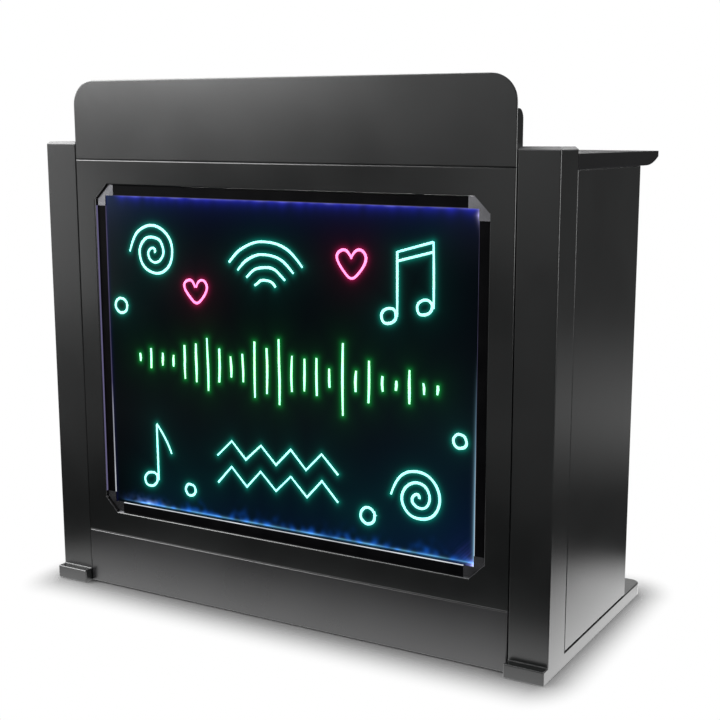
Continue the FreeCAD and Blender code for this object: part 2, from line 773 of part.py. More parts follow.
def table_rail(label, row):
    """Channel that ties the two side panels together under the tabletop."""
    body = new_body(label)
    top = z_table_under - size.steel_sheet
    reach = half - size.steel_sheet - size.table_rail_end_gap
    near = row - size.table_rail_width / 2
    far = row + size.table_rail_width / 2
    low = top - size.table_rail_height
    wall = size.steel_sheet
    channel = (
        (near, low),
        (near + wall, low),
        (near + wall, top - wall),
        (far - wall, top - wall),
        (far - wall, low),
        (far, low),
        (far, top),
        (near, top),
    )
    pad(body, "YZ", -reach, reach * 2, [channel])
    holes = [(x_side_screw * side, row, bolt_hole) for side in (-1, 1)]
    cut(body, "XY", top + size.overrun, size.overrun + wall, (), holes, -1)


# The sides of the writing board, a quarter turn on from each other: half length, outer edge and led chips
board_sides = {
    "top": (board_half, 0, z_board_top, LONG_TAPE_COUNT),
    "right": (half_board_height, board_half, z_board_middle, SHORT_TAPE_COUNT),
    "bottom": (board_half, 0, z_board, LONG_TAPE_COUNT),
    "left": (half_board_height, -board_half, z_board_middle, SHORT_TAPE_COUNT),
}
# Its corners, also a quarter turn on from each other
board_corners = {
    "top_right": (board_half, z_board_top),
    "bottom_right": (board_half, z_board),
    "bottom_left": (-board_half, z_board),
    "top_left": (-board_half, z_board_top),
}
ABOUT_Y = (0, 1, 0)
HEAD_UP = ((0, 0, 1), 0)
HEAD_DOWN = (ABOUT_Y, HALF_TURN)
HEAD_BACK = ((1, 0, 0), -QUARTER_TURN)

# The light controller on the back of the board
x_case = board_half - size.board_rail_width - size.case_side_inset - size.case_width / 2
z_case_base = z_board + size.board_rail_width + size.case_base_inset
z_case = z_case_base + size.case_height / 2
y_case_back = y_backing_back + size.case_depth
y_circuit = y_backing_back + size.circuit_level
x_first_button = x_case - size.button_row_start
button_places = [x_first_button + size.button_spacing * i for i in range(len(BUTTONS))]
x_socket = x_case + size.case_width / 2 - size.case_wall - size.socket_width
y_socket = y_circuit + size.circuit_thickness + size.socket_height / 2
x_lead = x_case - size.lead_offset
z_lead_top = z_case_base + size.case_wall + size.circuit_clearance + size.plug_height
case_screw_reach = size.case_width / 2 + size.ear_length - size.ear_width / 2
case_screw_places = (x_case - case_screw_reach, x_case + case_screw_reach)
case_screw_hole = size.case_screw_radius + size.bolt_clearance


def board_rail(label, angle, half_length, x, z):
    """Aluminium channel that holds the edges of the acrylic and its backing."""
    body = new_body(label)
    wall = size.board_wall
    lip = -size.board_rail_width
    channel = (
        (0, lip + size.rail_chamfer),
        (size.rail_chamfer, lip),
        (wall, lip),
        (wall, -wall),
        (board_depth - wall, -wall),
        (board_depth - wall, lip),
        (board_depth, lip),
        (board_depth, 0),
        (0, 0),
    )
    reach = half_length - size.corner_leg
    pad(body, "YZ", -reach, reach * 2, [channel])
    place(body, x, y_board, z, ABOUT_Y, angle)
    return body


def notch_for_lead(rail):
    """Lets the controller's lead through the rear wall of the bottom rail, which is turned upside down."""
    room = size.lead_width / 2 + size.lead_clearance
    low = -size.board_rail_width - size.overrun
    notch = rectangle(-x_lead - room, low, -x_lead + room, -size.board_wall)
    cut(rail, "XZ", board_depth + size.overrun, size.overrun + size.board_wall, [notch], (), -1)


def led_tape(label, angle, half_length, x, z, count):
    """Tape with a row of chips that shine into the edge of the acrylic."""
    body = new_body(label)
    reach = half_length - size.corner_leg - size.tape_end_gap
    middle = size.board_wall + size.light_sheet_thickness / 2
    top = -size.board_wall
    half_tape = size.tape_width / 2
    half_chip = size.chip_width / 2
    first = -reach + size.chip_margin
    tape = rectangle(-reach, middle - half_tape, reach, middle + half_tape)
    chip = rectangle(first, middle - half_chip, first + size.chip_length, middle + half_chip)
    pad(body, "XY", top, size.tape_thickness, [tape], way=-1)
    chips = pad(body, "XY", top - size.tape_thickness, size.chip_height, [chip], way=-1)
    run = (reach - size.chip_margin) * 2 - size.chip_length
    repeat(body, chips, ("X", run, count))
    place(body, x, y_board, z, ABOUT_Y, angle)


def board_corner(label, angle, x, z):
    """Plastic corner with a slot that takes the corners of the acrylic and its backing."""
    body = new_body(label)
    leg = -size.corner_leg
    wide = -size.board_rail_width
    radius = size.corner_radius
    elbow = (
        (leg, 0),
        (-radius, 0),
        (0, -radius, ARC),
        (0, leg),
        (wide, leg),
        (wide, wide),
        (leg, wide),
    )
    pad(body, "XZ", -size.corner_proud, board_depth + size.corner_proud, [elbow])
    edge = -sheet_inset + size.light_gap
    past = leg - size.overrun
    slot = size.light_sheet_thickness + size.backing_thickness
    cut(body, "XZ", size.board_wall, slot, [rectangle(past, past, edge, edge)])
    place(body, x, y_board, z, ABOUT_Y, angle)


def board_sheet(label, level, thickness):
    body = new_body(label)
    wide = board_half - sheet_inset
    face = rectangle(-wide, z_board + sheet_inset, wide, z_board_top - sheet_inset)
    pad(body, "XZ", level, thickness, [face])
    return body


def drill_for_case(backing):
    """Holes in the backing sheet for the screws of the controller case."""
    holes = [(x, z_case, case_screw_hole) for x in case_screw_places]
    grip = size.case_screw_length - size.ear_thickness + size.bolt_clearance
    cut(backing, "XZ", y_backing_back + size.overrun, size.overrun + grip, (), holes, -1)


def corner_pads():
    """Rubber pads between the corner webs of the window and the corners of the board."""
    body = new_body("corner_pads")
    level = y_front + size.steel_sheet
    thickness = size.board_recess - size.steel_sheet - size.corner_proud
    edge = size.corner_pad_inset
    leg = size.window_chamfer - size.corner_pad_margin
    pads = []
    for side in (-1, 1):
        for z, up in ((z_board + edge, 1), (z_board_top - edge, -1)):
            x = (board_half - edge) * side
            pads.append(((x, z), (x - leg * side, z), (x, z + leg * up)))
    pad(body, "XZ", level, thickness, pads)


def turn_clip(label, x, z, angle):
    """Flat clip with round ends that turns on its screw to free the board."""
    body = new_body(label)
    radius = size.clip_width / 2
    tip = size.clip_length - size.clip_width
    outline = (
        (0, -radius, ARC),
        (tip, -radius),
        (tip, radius, ARC),
        (0, radius),
    )
    pad(body, "XZ", 0, size.clip_thickness, [outline])
    hole = (0, 0, size.clip_screw_radius + size.pivot_clearance)
    cut(body, "XZ", -size.overrun, size.clip_thickness + size.overrun * 2, (), [hole])
    place(body, x, y_lip_back + size.clip_float, z, ABOUT_Y, angle)


def turned_screw(body, radius, length, head_radius, head_height):
    """Flat-headed screw along the body's Z axis, with the seat of its head at the origin."""
    profile = (
        (0, -length),
        (radius, -length),
        (radius, 0),
        (head_radius, 0),
        (head_radius, head_height),
        (0, head_height),
    )
    return revolve(body, profile)


def clip_screws():
    """Pivot screws of the turn clips, screwed into the folds behind the window's lips."""
    body = new_body("clip_screws")
    screw = turned_screw(
        body,
        size.clip_screw_radius,
        size.clip_screw_length,
        size.clip_screw_head_radius,
        size.clip_screw_head_height,
    )
    rise = clip_rows["top"] - clip_rows["bottom"]
    repeat(body, screw, ("X", clip_reach * 2, CLIPS_ACROSS), ("Y", rise, len(clip_rows)))
    seat = y_lip_back + size.clip_thickness + size.clip_float * 2
    place(body, clip_columns[0], seat, clip_rows["top"], *HEAD_BACK)


def controller_case():
    """Moulded cover, open towards the backing sheet, with ears for its two screws."""
    body = new_body("controller_case")
    wide = size.case_width / 2
    high = size.case_height / 2
    face = rounded_rectangle(x_case - wide, z_case - high, x_case + wide, z_case + high, size.case_radius)
    block = pad(body, "XZ", y_backing_back, size.case_depth, [face])
    shell(body, block, size.case_wall, lambda b: lies_at(b.YMin, b.YMax, y_backing_back))
    ear_radius = size.ear_width / 2
    ears = []
    for side, x in zip((-1, 1), case_screw_places):
        root = x_case + (wide - size.case_wall / 2) * side
        low = z_case - ear_radius
        high_end = z_case + ear_radius
        ears.append(((root, low), (x, low), (x, high_end, ARC), (root, high_end)))
    pad(body, "XZ", y_backing_back, size.ear_thickness, ears)
    screws = [(x, z_case, case_screw_hole) for x in case_screw_places]
    cut(body, "XZ", y_backing_back - size.overrun, size.ear_thickness + size.overrun * 2, (), screws)
    hole = size.button_radius + size.button_clearance
    holes = [(x, z_case, hole) for x in button_places]
    cut(body, "XZ", y_case_back + size.overrun, size.overrun + size.case_wall, (), holes, -1)
    mouth = (x_socket, y_socket, size.socket_barrel_radius + size.socket_clearance)
    below = z_case_base - size.overrun
    cut(body, "XY", below, size.overrun + size.case_wall, (), [mouth])
    room = size.lead_width / 2 + size.lead_clearance
    notch = rectangle(x_lead - room, below, x_lead + room, z_case_base + size.case_wall)
    deep = size.overrun + size.lead_thickness + size.lead_clearance
    cut(body, "XZ", y_backing_back - size.overrun, deep, [notch])


def controller_circuit():
    """Circuit board on four posts, with a switch under each button and a plug for the lead."""
    body = new_body("controller_circuit")
    trim = size.case_wall + size.circuit_clearance
    wide = size.case_width / 2 - trim
    high = size.case_height / 2 - trim
    face = rounded_rectangle(x_case - wide, z_case - high, x_case + wide, z_case + high, size.case_radius)
    pad(body, "XZ", y_circuit, size.circuit_thickness, [face])
    inset = size.standoff_radius + size.circuit_clearance
    posts = [
        (x_case + (wide - inset) * side, z_case + (high - inset) * up, size.standoff_radius)
        for side in (-1, 1)
        for up in (-1, 1)
    ]
    pad(body, "XZ", y_circuit, size.circuit_level, (), posts, -1)
    reach = size.switch_width / 2
    switches = [rectangle(x - reach, z_case - reach, x + reach, z_case + reach) for x in button_places]
    pad(body, "XZ", y_circuit + size.circuit_thickness, size.switch_height, switches)
    half_lead = size.lead_width / 2
    plug = rectangle(x_lead - half_lead, z_lead_top - size.plug_height, x_lead + half_lead, z_lead_top)
    pad(body, "XZ", y_circuit, size.circuit_level - size.lead_thickness, [plug], way=-1)


def controller_lead():
    """Flat lead from the circuit board down the backing sheet to the led tape in the bottom rail."""
    body = new_body("controller_lead")
    y_rear = y_backing_back + size.lead_thickness
    y_tape = y_backing - size.light_gap
    z_tape = z_board + size.board_wall + size.tape_thickness
    z_foot = z_tape + size.lead_thickness
    profile = (
        (y_backing_back, z_lead_top),
        (y_rear, z_lead_top),
        (y_rear, z_tape),
        (y_tape, z_tape),
        (y_tape, z_foot),
        (y_backing_back, z_foot),
    )
    pad(body, "YZ", x_lead - size.lead_width / 2, size.lead_width, [profile])


def push_button(label, x):
    """Button cap with a rim inside the case and a stem over its switch."""
    body = new_body(label)
    rim_top = y_case_back - size.case_wall - size.button_float
    switch_top = y_circuit + size.circuit_thickness + size.switch_height
    foot = switch_top + size.button_travel + size.button_float
    stem = rim_top - size.button_rim_thickness - foot
    rim = rim_top - foot
    top = y_case_back + size.button_proud - foot
    profile = (
        (0, 0),
        (size.button_stem_radius, 0),
        (size.button_stem_radius, stem),
        (size.button_radius + size.button_rim, stem),
        (size.button_radius + size.button_rim, rim),
        (size.button_radius, rim),
        (size.button_radius, top - size.button_edge),
        (size.button_radius - size.button_edge, top),
        (0, top),
    )
    revolve(body, profile)
    place(body, x, foot, z_case, *HEAD_BACK)


def dc_socket():
    """Socket for the board's power lead, on the circuit board with its mouth through the case."""
    body = new_body("dc_socket")
    y_low = y_circuit + size.circuit_thickness
    stub = size.case_wall + size.socket_clearance
    reach = size.socket_width / 2
    face = rectangle(x_socket - reach, y_low, x_socket + reach, y_low + size.socket_height)
    pad(body, "XY", z_case_base + stub, size.socket_length, [face])
    pad(body, "XY", z_case_base, stub, (), [(x_socket, y_socket, size.socket_barrel_radius)])
    bore = stub + size.socket_length - size.socket_floor
    past = z_case_base - size.overrun
    cut(body, "XY", past, bore + size.overrun, (), [(x_socket, y_socket, size.socket_bore_radius)])
    pin = bore - size.socket_pin_setback
    pin_foot = z_case_base + bore + size.socket_floor / 2
    pin_length = pin + size.socket_floor / 2
    pad(body, "XY", pin_foot, pin_length, (), [(x_socket, y_socket, size.socket_pin_radius)], -1)


def case_screws():
    """Screws through the ears of the controller case into the backing sheet."""
    body = new_body("case_screws")
    screw = turned_screw(
        body,
        size.case_screw_radius,
        size.case_screw_length,
        size.case_screw_head_radius,
        size.case_screw_head_height,
    )
    repeat(body, screw, ("X", case_screw_places[1] - case_screw_places[0], len(case_screw_places)))
    place(body, case_screw_places[0], y_backing_back + size.ear_thickness, z_case, *HEAD_BACK)


def bolts(label, length, spot, turn, *runs):
    """Button-head bolts along the body's Z axis, with the seats of their heads at its origin."""
    body = new_body(label)
    profile = (
        (0, -length),
        (size.bolt_radius, -length),
        (size.bolt_radius, 0),
        (size.bolt_head_radius, 0),
        (size.bolt_head_radius, size.bolt_head_edge),
        (size.bolt_crown_radius, size.bolt_head_height),
        (0, size.bolt_head_height),
    )
    repeat(body, revolve(body, profile), *runs)
    place(body, *spot, *turn)


def rivet_nuts(label, side):
    """Nuts riveted into the post, each with a collar outside its wall and a bulge inside."""
    body = new_body(label)
    bore = size.bolt_radius + size.bolt_clearance
    collar = size.panel_gap
    wall = collar + size.steel_sheet
    bulge = wall + size.nut_bulge_length
    end = collar + size.nut_body_length
    profile = (
        (bore, 0),
        (size.nut_collar_radius, 0),
        (size.nut_collar_radius, collar),
        (size.nut_body_radius, collar),
        (size.nut_body_radius, wall),
        (size.nut_bulge_radius, wall),
        (size.nut_body_radius, bulge),
        (size.nut_body_radius, end),
        (bore, end),
    )
    rise = bolt_heights[-1] - bolt_heights[0]
    repeat(body, revolve(body, profile), ("X", rise, PANEL_BOLTS))
    start = bolt_heights[-1] if side > 0 else bolt_heights[0]
    place(body, panel_half * side, y_bolt, start, ABOUT_Y, QUARTER_TURN * side)


def seam_nuts(label, level):
    """Hexagon nuts under the flanges of a seam."""
    body = new_body(label)
    corners = [(size.hex_nut_radius * x, size.hex_nut_radius * y) for x, y in HEXAGON_SHARES]
    nut = pad(body, "XY", 0, size.hex_nut_height, [corners], [(0, 0, bolt_hole)], -1)
    repeat(body, nut, ("X", seam_reach * 2, SEAM_BOLTS))
    place(body, seam_places[0], y_bolt, level - size.steel_sheet)


def foot_pads(label, side):
    """Rubber pads under the lips of the runner."""
    body = new_body(label)
    mid_lip = (size.steel_sheet + size.base_lip) / 2
    spots = [
        (x * side, y, size.foot_pad_radius)
        for x in (inner + mid_lip, half - mid_lip)
        for y in (y_toe + size.foot_pad_inset, y_runner_back - size.foot_pad_inset)
    ]
    pad(body, "XY", 0, size.foot_pad_thickness, (), spots)


def side_fasteners(name, side):
    """Bolts and nuts between the front panels and a post, and the screws of a side panel."""
    rise = bolt_heights[-1] - bolt_heights[0]
    start = bolt_heights[0] if side > 0 else bolt_heights[-1]
    spot = ((panel_half - size.steel_sheet) * side, y_bolt, start)
    turn = (ABOUT_Y, -QUARTER_TURN * side)
    bolts(f"{name}_panel_bolts", size.panel_bolt_length, spot, turn, ("X", rise, PANEL_BOLTS))
    rivet_nuts(f"{name}_rivet_nuts", side)
    drop = side_screw_heights[-1] - side_screw_heights[0]
    spot = (x_side_screw * side, y_post_back + size.steel_sheet, side_screw_heights[-1])
    bolts(f"{name}_side_screws", size.side_screw_length, spot, HEAD_BACK, ("Y", drop, SIDE_SCREWS))


def table_screws():
    """Screws up through the rails and the side panels' flanges into the tabletop."""
    front, rear = table_rail_rows
    spot = (x_side_screw, front, z_table_under - size.steel_sheet * 2)
    across = ("X", x_side_screw * 2, 2)
    along = ("Y", rear - front, len(table_rail_rows))
    bolts("table_screws", size.table_screw_length, spot, HEAD_DOWN, across, along)


for name, side in (("left", -1), ("right", 1)):
    side_frame(f"{name}_side_frame", side)
    post_cap(f"{name}_post_cap", side)
    side_panel(f"{name}_side_panel", side)
    seat_strip(f"{name}_seat_strip", side)
    foot_pads(f"{name}_foot_pads", side)
    side_fasteners(name, side)
kick_panel()
front_frame_panel()
header_panel()
for name, level in (("kick", z_frame), ("header", z_frame_top)):
    spot = (seam_places[0], y_bolt, level + size.steel_sheet)
    bolts(f"{name}_bolts", size.seam_bolt_length, spot, HEAD_UP, ("X", seam_reach * 2, SEAM_BOLTS))
    seam_nuts(f"{name}_nuts", level)
tabletop()
for name, row in zip(("front", "rear"), table_rail_rows):
    table_rail(f"{name}_table_rail", row)
table_screws()
for turns, (name, (half_length, x, z, chips)) in enumerate(board_sides.items()):
    angle = QUARTER_TURN * turns
    rail = board_rail(f"board_{name}_rail", angle, half_length, x, z)
    if name == "bottom":
        notch_for_lead(rail)
    led_tape(f"led_tape_{name}", angle, half_length, x, z, chips)
for turns, (name, (x, z)) in enumerate(board_corners.items()):
    board_corner(f"board_corner_{name}", QUARTER_TURN * turns, x, z)
board_sheet("light_sheet", y_light, size.light_sheet_thickness)
drill_for_case(board_sheet("backing_sheet", y_backing, size.backing_thickness))
corner_pads()
for row, z in clip_rows.items():
    for column, x in zip(CLIP_NAMES, clip_columns):
        turn_clip(f"turn_clip_{row}_{column}", x, z, QUARTER_TURN if row == "top" else -QUARTER_TURN)
clip_screws()
controller_case()
controller_circuit()
controller_lead()
dc_socket()
case_screws()
for name, x in zip(BUTTONS, button_places):
    push_button(f"button_{name}", x)

doc.recompute()
for item in doc.Objects:
    if {"Invalid", "Error"} & set(item.State):
        raise RuntimeError(f"{item.Label} failed: {item.State}")
os.makedirs("parts", exist_ok=True)
for piece in pieces:
    shape = piece.Shape
    if shape.isNull() or not shape.isValid() or not shape.Solids:
        raise RuntimeError(f"{piece.Label} has no sound solid")
    shape.exportStep(f"parts/{piece.Label}.step")
    print(piece.Label, len(shape.Solids), round(shape.Volume))
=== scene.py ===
import json
import math
import random

import bmesh
import bpy
from mathutils import Matrix, Vector, noise
from mathutils.bvhtree import BVHTree


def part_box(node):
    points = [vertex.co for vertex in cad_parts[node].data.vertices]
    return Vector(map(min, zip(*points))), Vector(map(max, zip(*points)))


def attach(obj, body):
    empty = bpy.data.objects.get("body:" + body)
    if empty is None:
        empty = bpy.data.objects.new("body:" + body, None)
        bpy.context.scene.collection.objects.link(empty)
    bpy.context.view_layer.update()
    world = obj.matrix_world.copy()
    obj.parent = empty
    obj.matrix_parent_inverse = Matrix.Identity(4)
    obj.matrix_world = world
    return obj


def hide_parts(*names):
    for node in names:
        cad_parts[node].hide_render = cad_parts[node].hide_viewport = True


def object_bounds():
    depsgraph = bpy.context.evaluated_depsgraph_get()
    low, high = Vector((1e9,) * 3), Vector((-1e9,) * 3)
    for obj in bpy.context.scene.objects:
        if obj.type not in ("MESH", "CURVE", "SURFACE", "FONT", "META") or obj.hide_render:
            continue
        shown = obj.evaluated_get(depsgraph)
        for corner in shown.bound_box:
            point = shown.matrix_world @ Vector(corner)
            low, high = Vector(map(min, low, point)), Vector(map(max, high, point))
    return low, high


# A knock-down dj booth of folded black sheet steel with an edge-lit writing board in its front.
# X runs to the right as the audience sees it, Y towards the dj and Z up, in metres as in the CAD model.

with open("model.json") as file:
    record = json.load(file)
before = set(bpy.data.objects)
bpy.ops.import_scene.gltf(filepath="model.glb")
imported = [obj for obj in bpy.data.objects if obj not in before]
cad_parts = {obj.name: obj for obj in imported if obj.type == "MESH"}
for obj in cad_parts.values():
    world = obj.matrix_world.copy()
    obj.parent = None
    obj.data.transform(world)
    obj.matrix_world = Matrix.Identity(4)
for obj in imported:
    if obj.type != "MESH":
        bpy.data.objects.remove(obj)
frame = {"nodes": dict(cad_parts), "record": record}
cad_low, cad_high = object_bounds()
scene = bpy.context.scene
nodes = frame["nodes"]
MM = 0.001

# The clear sheet, and the part of it that shows between the rails
sheet_low, sheet_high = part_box("light_sheet")
rail_low, rail_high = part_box("board_left_rail")
x_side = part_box("board_right_rail")[0].x
z_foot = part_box("board_bottom_rail")[1].z
z_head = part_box("board_top_rail")[0].z
y_face = sheet_low.y

# The window round it: how far its side lips stand from the rails, and how deep the fold of a lip is
LIP_GAP = 1 * MM
LIP_FOLD = 2.5 * MM
x_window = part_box("board_right_rail")[1].x + LIP_GAP
y_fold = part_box("front_frame_panel")[0].y + LIP_FOLD


def linear(colour):
    """An sRGB hex colour as the linear red, green, blue and alpha that sockets take."""
    parts = [int(colour[i : i + 2], 16) / 255 for i in (1, 3, 5)]
    return (*(c / 12.92 if c <= 0.04045 else ((c + 0.055) / 1.055) ** 2.4 for c in parts), 1)


def add_node(tree, kind, inputs=None, **settings):
    """Adds a node. Settings are its properties, and inputs are values or other nodes' sockets."""
    node = tree.nodes.new(kind)
    for name, value in settings.items():
        setattr(node, name, value)
    for name, value in (inputs or {}).items():
        if isinstance(value, bpy.types.NodeSocket):
            tree.links.new(value, node.inputs[name])
        else:
            node.inputs[name].default_value = value
    return node


def new_material(name, values):
    """A material with one shader, whose values are set on its own sockets."""
    material = bpy.data.materials.new(name)
    material.use_nodes = True
    shader = material.node_tree.nodes["Principled BSDF"]
    for socket, value in values.items():
        shader.inputs[socket].default_value = value
    return material, material.node_tree, shader


DRIFT_ENDS = (0.35, 0.65)  # the part of the noise over which one colour turns into the other


def mottled(tree, shader, feature, colours, roughness):
    """Lets colour and roughness drift over patches of a given size, as a coat or a moulding does."""
    place = add_node(tree, "ShaderNodeTexCoord")
    drift = add_node(
        tree,
        "ShaderNodeTexNoise",
        {"Vector": place.outputs["Object"], "Scale": 1 / feature, "Detail": 4},
    )
    ramp = add_node(tree, "ShaderNodeValToRGB", {"Fac": drift.outputs["Fac"]})
    for stop, position, colour in zip(ramp.color_ramp.elements, DRIFT_ENDS, colours):
        stop.position = position
        stop.color = linear(colour)
    spread = add_node(
        tree,
        "ShaderNodeMapRange",
        {"Value": drift.outputs["Fac"], "To Min": roughness[0], "To Max": roughness[1]},
    )
    tree.links.new(ramp.outputs["Color"], shader.inputs["Base Color"])
    tree.links.new(spread.outputs["Result"], shader.inputs["Roughness"])
    return place.outputs["Object"]


def grained(tree, shader, place, grain, depth, strength, stretch=(1, 1, 1)):
    """Raises a grain of a given width and depth.

    Stretch draws it out along an axis, as a die or a brush does.
    """
    drawn = add_node(tree, "ShaderNodeMapping", {"Vector": place, "Scale": stretch})
    bumps = add_node(
        tree,
        "ShaderNodeTexNoise",
        {"Vector": drawn.outputs["Vector"], "Scale": 1 / grain, "Detail": 2},
    )
    relief = add_node(
        tree,
        "ShaderNodeBump",
        {"Height": bumps.outputs["Fac"], "Strength": strength, "Distance": depth},
    )
    tree.links.new(relief.outputs["Normal"], shader.inputs["Normal"])


# Edges are painted lighter: partly wear, partly a painted highlight along the folds.
RUB_AND_HIGHLIGHT_PATCH = 24 * MM  # the length of a rubbed stretch of edge
RUB_AND_HIGHLIGHT_STARTS, RUB_AND_HIGHLIGHT_FULL = 0.99, 0.85  # cosines of the turn of an edge at which it is rubbed


def worn_and_painted_highlight(tree, shader, place, width, colour):
    """Rubs a coat lighter along the edges of a piece, more in some places than in others. The lighter
    edge is also a painted highlight, standing in for the light that the folds catch.
    """
    eased = add_node(tree, "ShaderNodeBevel", {"Radius": width}, samples=6)
    surface = add_node(tree, "ShaderNodeNewGeometry")
    level = add_node(
        tree,
        "ShaderNodeVectorMath",
        {0: eased.outputs["Normal"], 1: surface.outputs["True Normal"]},
        operation="DOT_PRODUCT",
    )
    edge = add_node(
        tree,
        "ShaderNodeMapRange",
        {"Value": level.outputs["Value"], "From Min": RUB_AND_HIGHLIGHT_STARTS, "From Max": RUB_AND_HIGHLIGHT_FULL},
    )
    rub_and_highlight = add_node(tree, "ShaderNodeTexNoise", {"Vector": place, "Scale": 1 / RUB_AND_HIGHLIGHT_PATCH, "Detail": 6})
    amount = add_node(
        tree,
        "ShaderNodeMath",
        {0: edge.outputs["Result"], 1: rub_and_highlight.outputs["Fac"]},
        operation="MULTIPLY",
    )
    coat = shader.inputs["Base Color"].links[0].from_socket
    mix = add_node(
        tree, "ShaderNodeMix", {0: amount.outputs[0], 6: coat, 7: linear(colour)}, data_type="RGBA"
    )
    tree.links.new(mix.outputs[2], shader.inputs["Base Color"])


COAT_COLOURS = ("#0a0b0b", "#101111")
SCUFFED_COLOURS = ("#101011", "#171718")
COAT_ROUGHNESS = (0.22, 0.29)
WINDOW_COAT_ROUGHNESS = (0.17, 0.23)
SCUFFED_ROUGHNESS = (0.24, 0.32)


def powder_coated_steel(name, roughness, colours):
    # Polyester powder baked on steel: a semi-gloss skin with a fine orange peel, about 2 mm from crest
    # to crest. It is thin over the folds, and hands and cases rub it grey there; that grey on the folds
    # is also a painted highlight.
    material, tree, shader = new_material(name, {"IOR": 1.5})
    place = mottled(tree, shader, 160 * MM, colours, roughness)
    grained(tree, shader, place, 2.2 * MM, 0.05 * MM, 0.5)
    # The folds are painted lighter: wear, and a painted highlight.
    worn_and_painted_highlight(tree, shader, place, 1.5 * MM, "#77777a")
    return material


LIP_GLOW = 0.45
LIP_NEAR = 0.8 * MM  # how close to the lip's face a point counts as on it


def lit_window_coat():
    # The same coat on the panel round the board, glossier, with the tape's violet light painted on the
    # lip of the window's left side as a glow, in front of the clear sheet and as long as the rail beside
    # it.
    material = powder_coated_steel("lit_black_powder_coat", WINDOW_COAT_ROUGHNESS, COAT_COLOURS)
    tree = material.node_tree
    shader = tree.nodes["Principled BSDF"]
    shader.inputs["Emission Color"].default_value = linear("#8d86b4")
    place = add_node(tree, "ShaderNodeTexCoord")
    spot = add_node(tree, "ShaderNodeSeparateXYZ", {"Vector": place.outputs["Object"]})
    lip = (
        ("X", -x_window, LIP_NEAR),
        ("Y", (y_fold + y_face) / 2, (y_face - y_fold) / 2),
        ("Z", (rail_low.z + rail_high.z) / 2, (rail_high.z - rail_low.z) / 2),
    )
    # Painted light: the lip glows violet, as an emission in the coat.
    glow = LIP_GLOW
    for axis, middle, reach in lip:
        inside = add_node(
            tree,
            "ShaderNodeMath",
            {0: spot.outputs[axis], 1: middle, 2: reach},
            operation="COMPARE",
        )
        within = add_node(tree, "ShaderNodeMath", {0: inside.outputs[0], 1: glow}, operation="MULTIPLY")
        glow = within.outputs[0]
    tree.links.new(glow, shader.inputs["Emission Strength"])
    return material


def black_laminate():
    # Melamine-faced board, pressed against a textured plate: satin, with a fine pore that is drawn at
    # 1.6 mm so that it shows. Its sharp edges are rubbed grey, and that grey is also a painted highlight.
    material, tree, shader = new_material("black_melamine_board", {"Specular IOR Level": 0.1})
    place = mottled(tree, shader, 90 * MM, ("#0f0f10", "#131314"), (0.52, 0.6))
    grained(tree, shader, place, 1.6 * MM, 0.06 * MM, 0.5)
    # The edges are painted lighter: wear, and a painted highlight.
    worn_and_painted_highlight(tree, shader, place, 1.2 * MM, "#5c5c5e")
    return material


DIE_LINES = 0.05  # the share of its width that a grain keeps along the way the die drew it
# The painted glow on the rail's chamfer, for the light that leaks out of the sheet's edge:
LEAK_ENDS, LEAK_FULL = 1.5 * MM, 0.9 * MM  # distances from the sheet's opening, on the chamfer
LEAK_PATCH = 90 * MM
LEAK = 1.7
LEAK_COLOURS = ((0, "#e8ecf2"), (0.4, "#4a4664"))  # by height, from the foot of the sheet to its head


def anodised_rail(name, stretch):
    # Black anodised extrusion: the die leaves fine lines along it, drawn here at 1.2 mm so that they
    # show. The light that leaks out of the sheet's edge is painted on the chamfer beside the sheet as a
    # glow.
    material, tree, shader = new_material(name, {"Specular IOR Level": 0.03})
    place = mottled(tree, shader, 60 * MM, ("#030304", "#060607"), (0.3, 0.4))
    grained(tree, shader, place, 1.2 * MM, 0.03 * MM, 0.4, stretch)
    middle = (0, 0, (z_foot + z_head) / 2)
    opening = (x_side, 1, (z_head - z_foot) / 2)
    moved = add_node(tree, "ShaderNodeVectorMath", {0: place, 1: middle}, operation="SUBTRACT")
    mirrored = add_node(tree, "ShaderNodeVectorMath", {0: moved.outputs[0]}, operation="ABSOLUTE")
    past = add_node(
        tree, "ShaderNodeVectorMath", {0: mirrored.outputs[0], 1: opening}, operation="SUBTRACT"
    )
    sides = add_node(tree, "ShaderNodeSeparateXYZ", {"Vector": past.outputs[0]})
    out = add_node(
        tree, "ShaderNodeMath", {0: sides.outputs["X"], 1: sides.outputs["Z"]}, operation="MAXIMUM"
    )
    lit = add_node(
        tree,
        "ShaderNodeMapRange",
        {"Value": out.outputs["Value"], "From Min": LEAK_ENDS, "From Max": LEAK_FULL, "To Max": LEAK},
    )
    uneven = add_node(
        tree, "ShaderNodeTexNoise", {"Vector": place, "Scale": 1 / LEAK_PATCH, "Detail": 3}
    )
    leak = add_node(
        tree,
        "ShaderNodeMath",
        {0: lit.outputs["Result"], 1: uneven.outputs["Fac"]},
        operation="MULTIPLY",
    )
    spot = add_node(tree, "ShaderNodeSeparateXYZ", {"Vector": place})
    front = add_node(tree, "ShaderNodeMath", {0: spot.outputs["Y"], 1: y_face}, operation="LESS_THAN")
    strength = add_node(
        tree, "ShaderNodeMath", {0: leak.outputs[0], 1: front.outputs[0]}, operation="MULTIPLY"
    )
    climb = add_node(
        tree,
        "ShaderNodeMapRange",
        {"Value": spot.outputs["Z"], "From Min": z_foot, "From Max": z_head},
    )
    ramp = add_node(tree, "ShaderNodeValToRGB", {"Fac": climb.outputs["Result"]})
    for stop, (position, colour) in zip(ramp.color_ramp.elements, LEAK_COLOURS):
        stop.position = position
        stop.color = linear(colour)
    tree.links.new(ramp.outputs["Color"], shader.inputs["Emission Color"])
    tree.links.new(strength.outputs["Value"], shader.inputs["Emission Strength"])
    return material


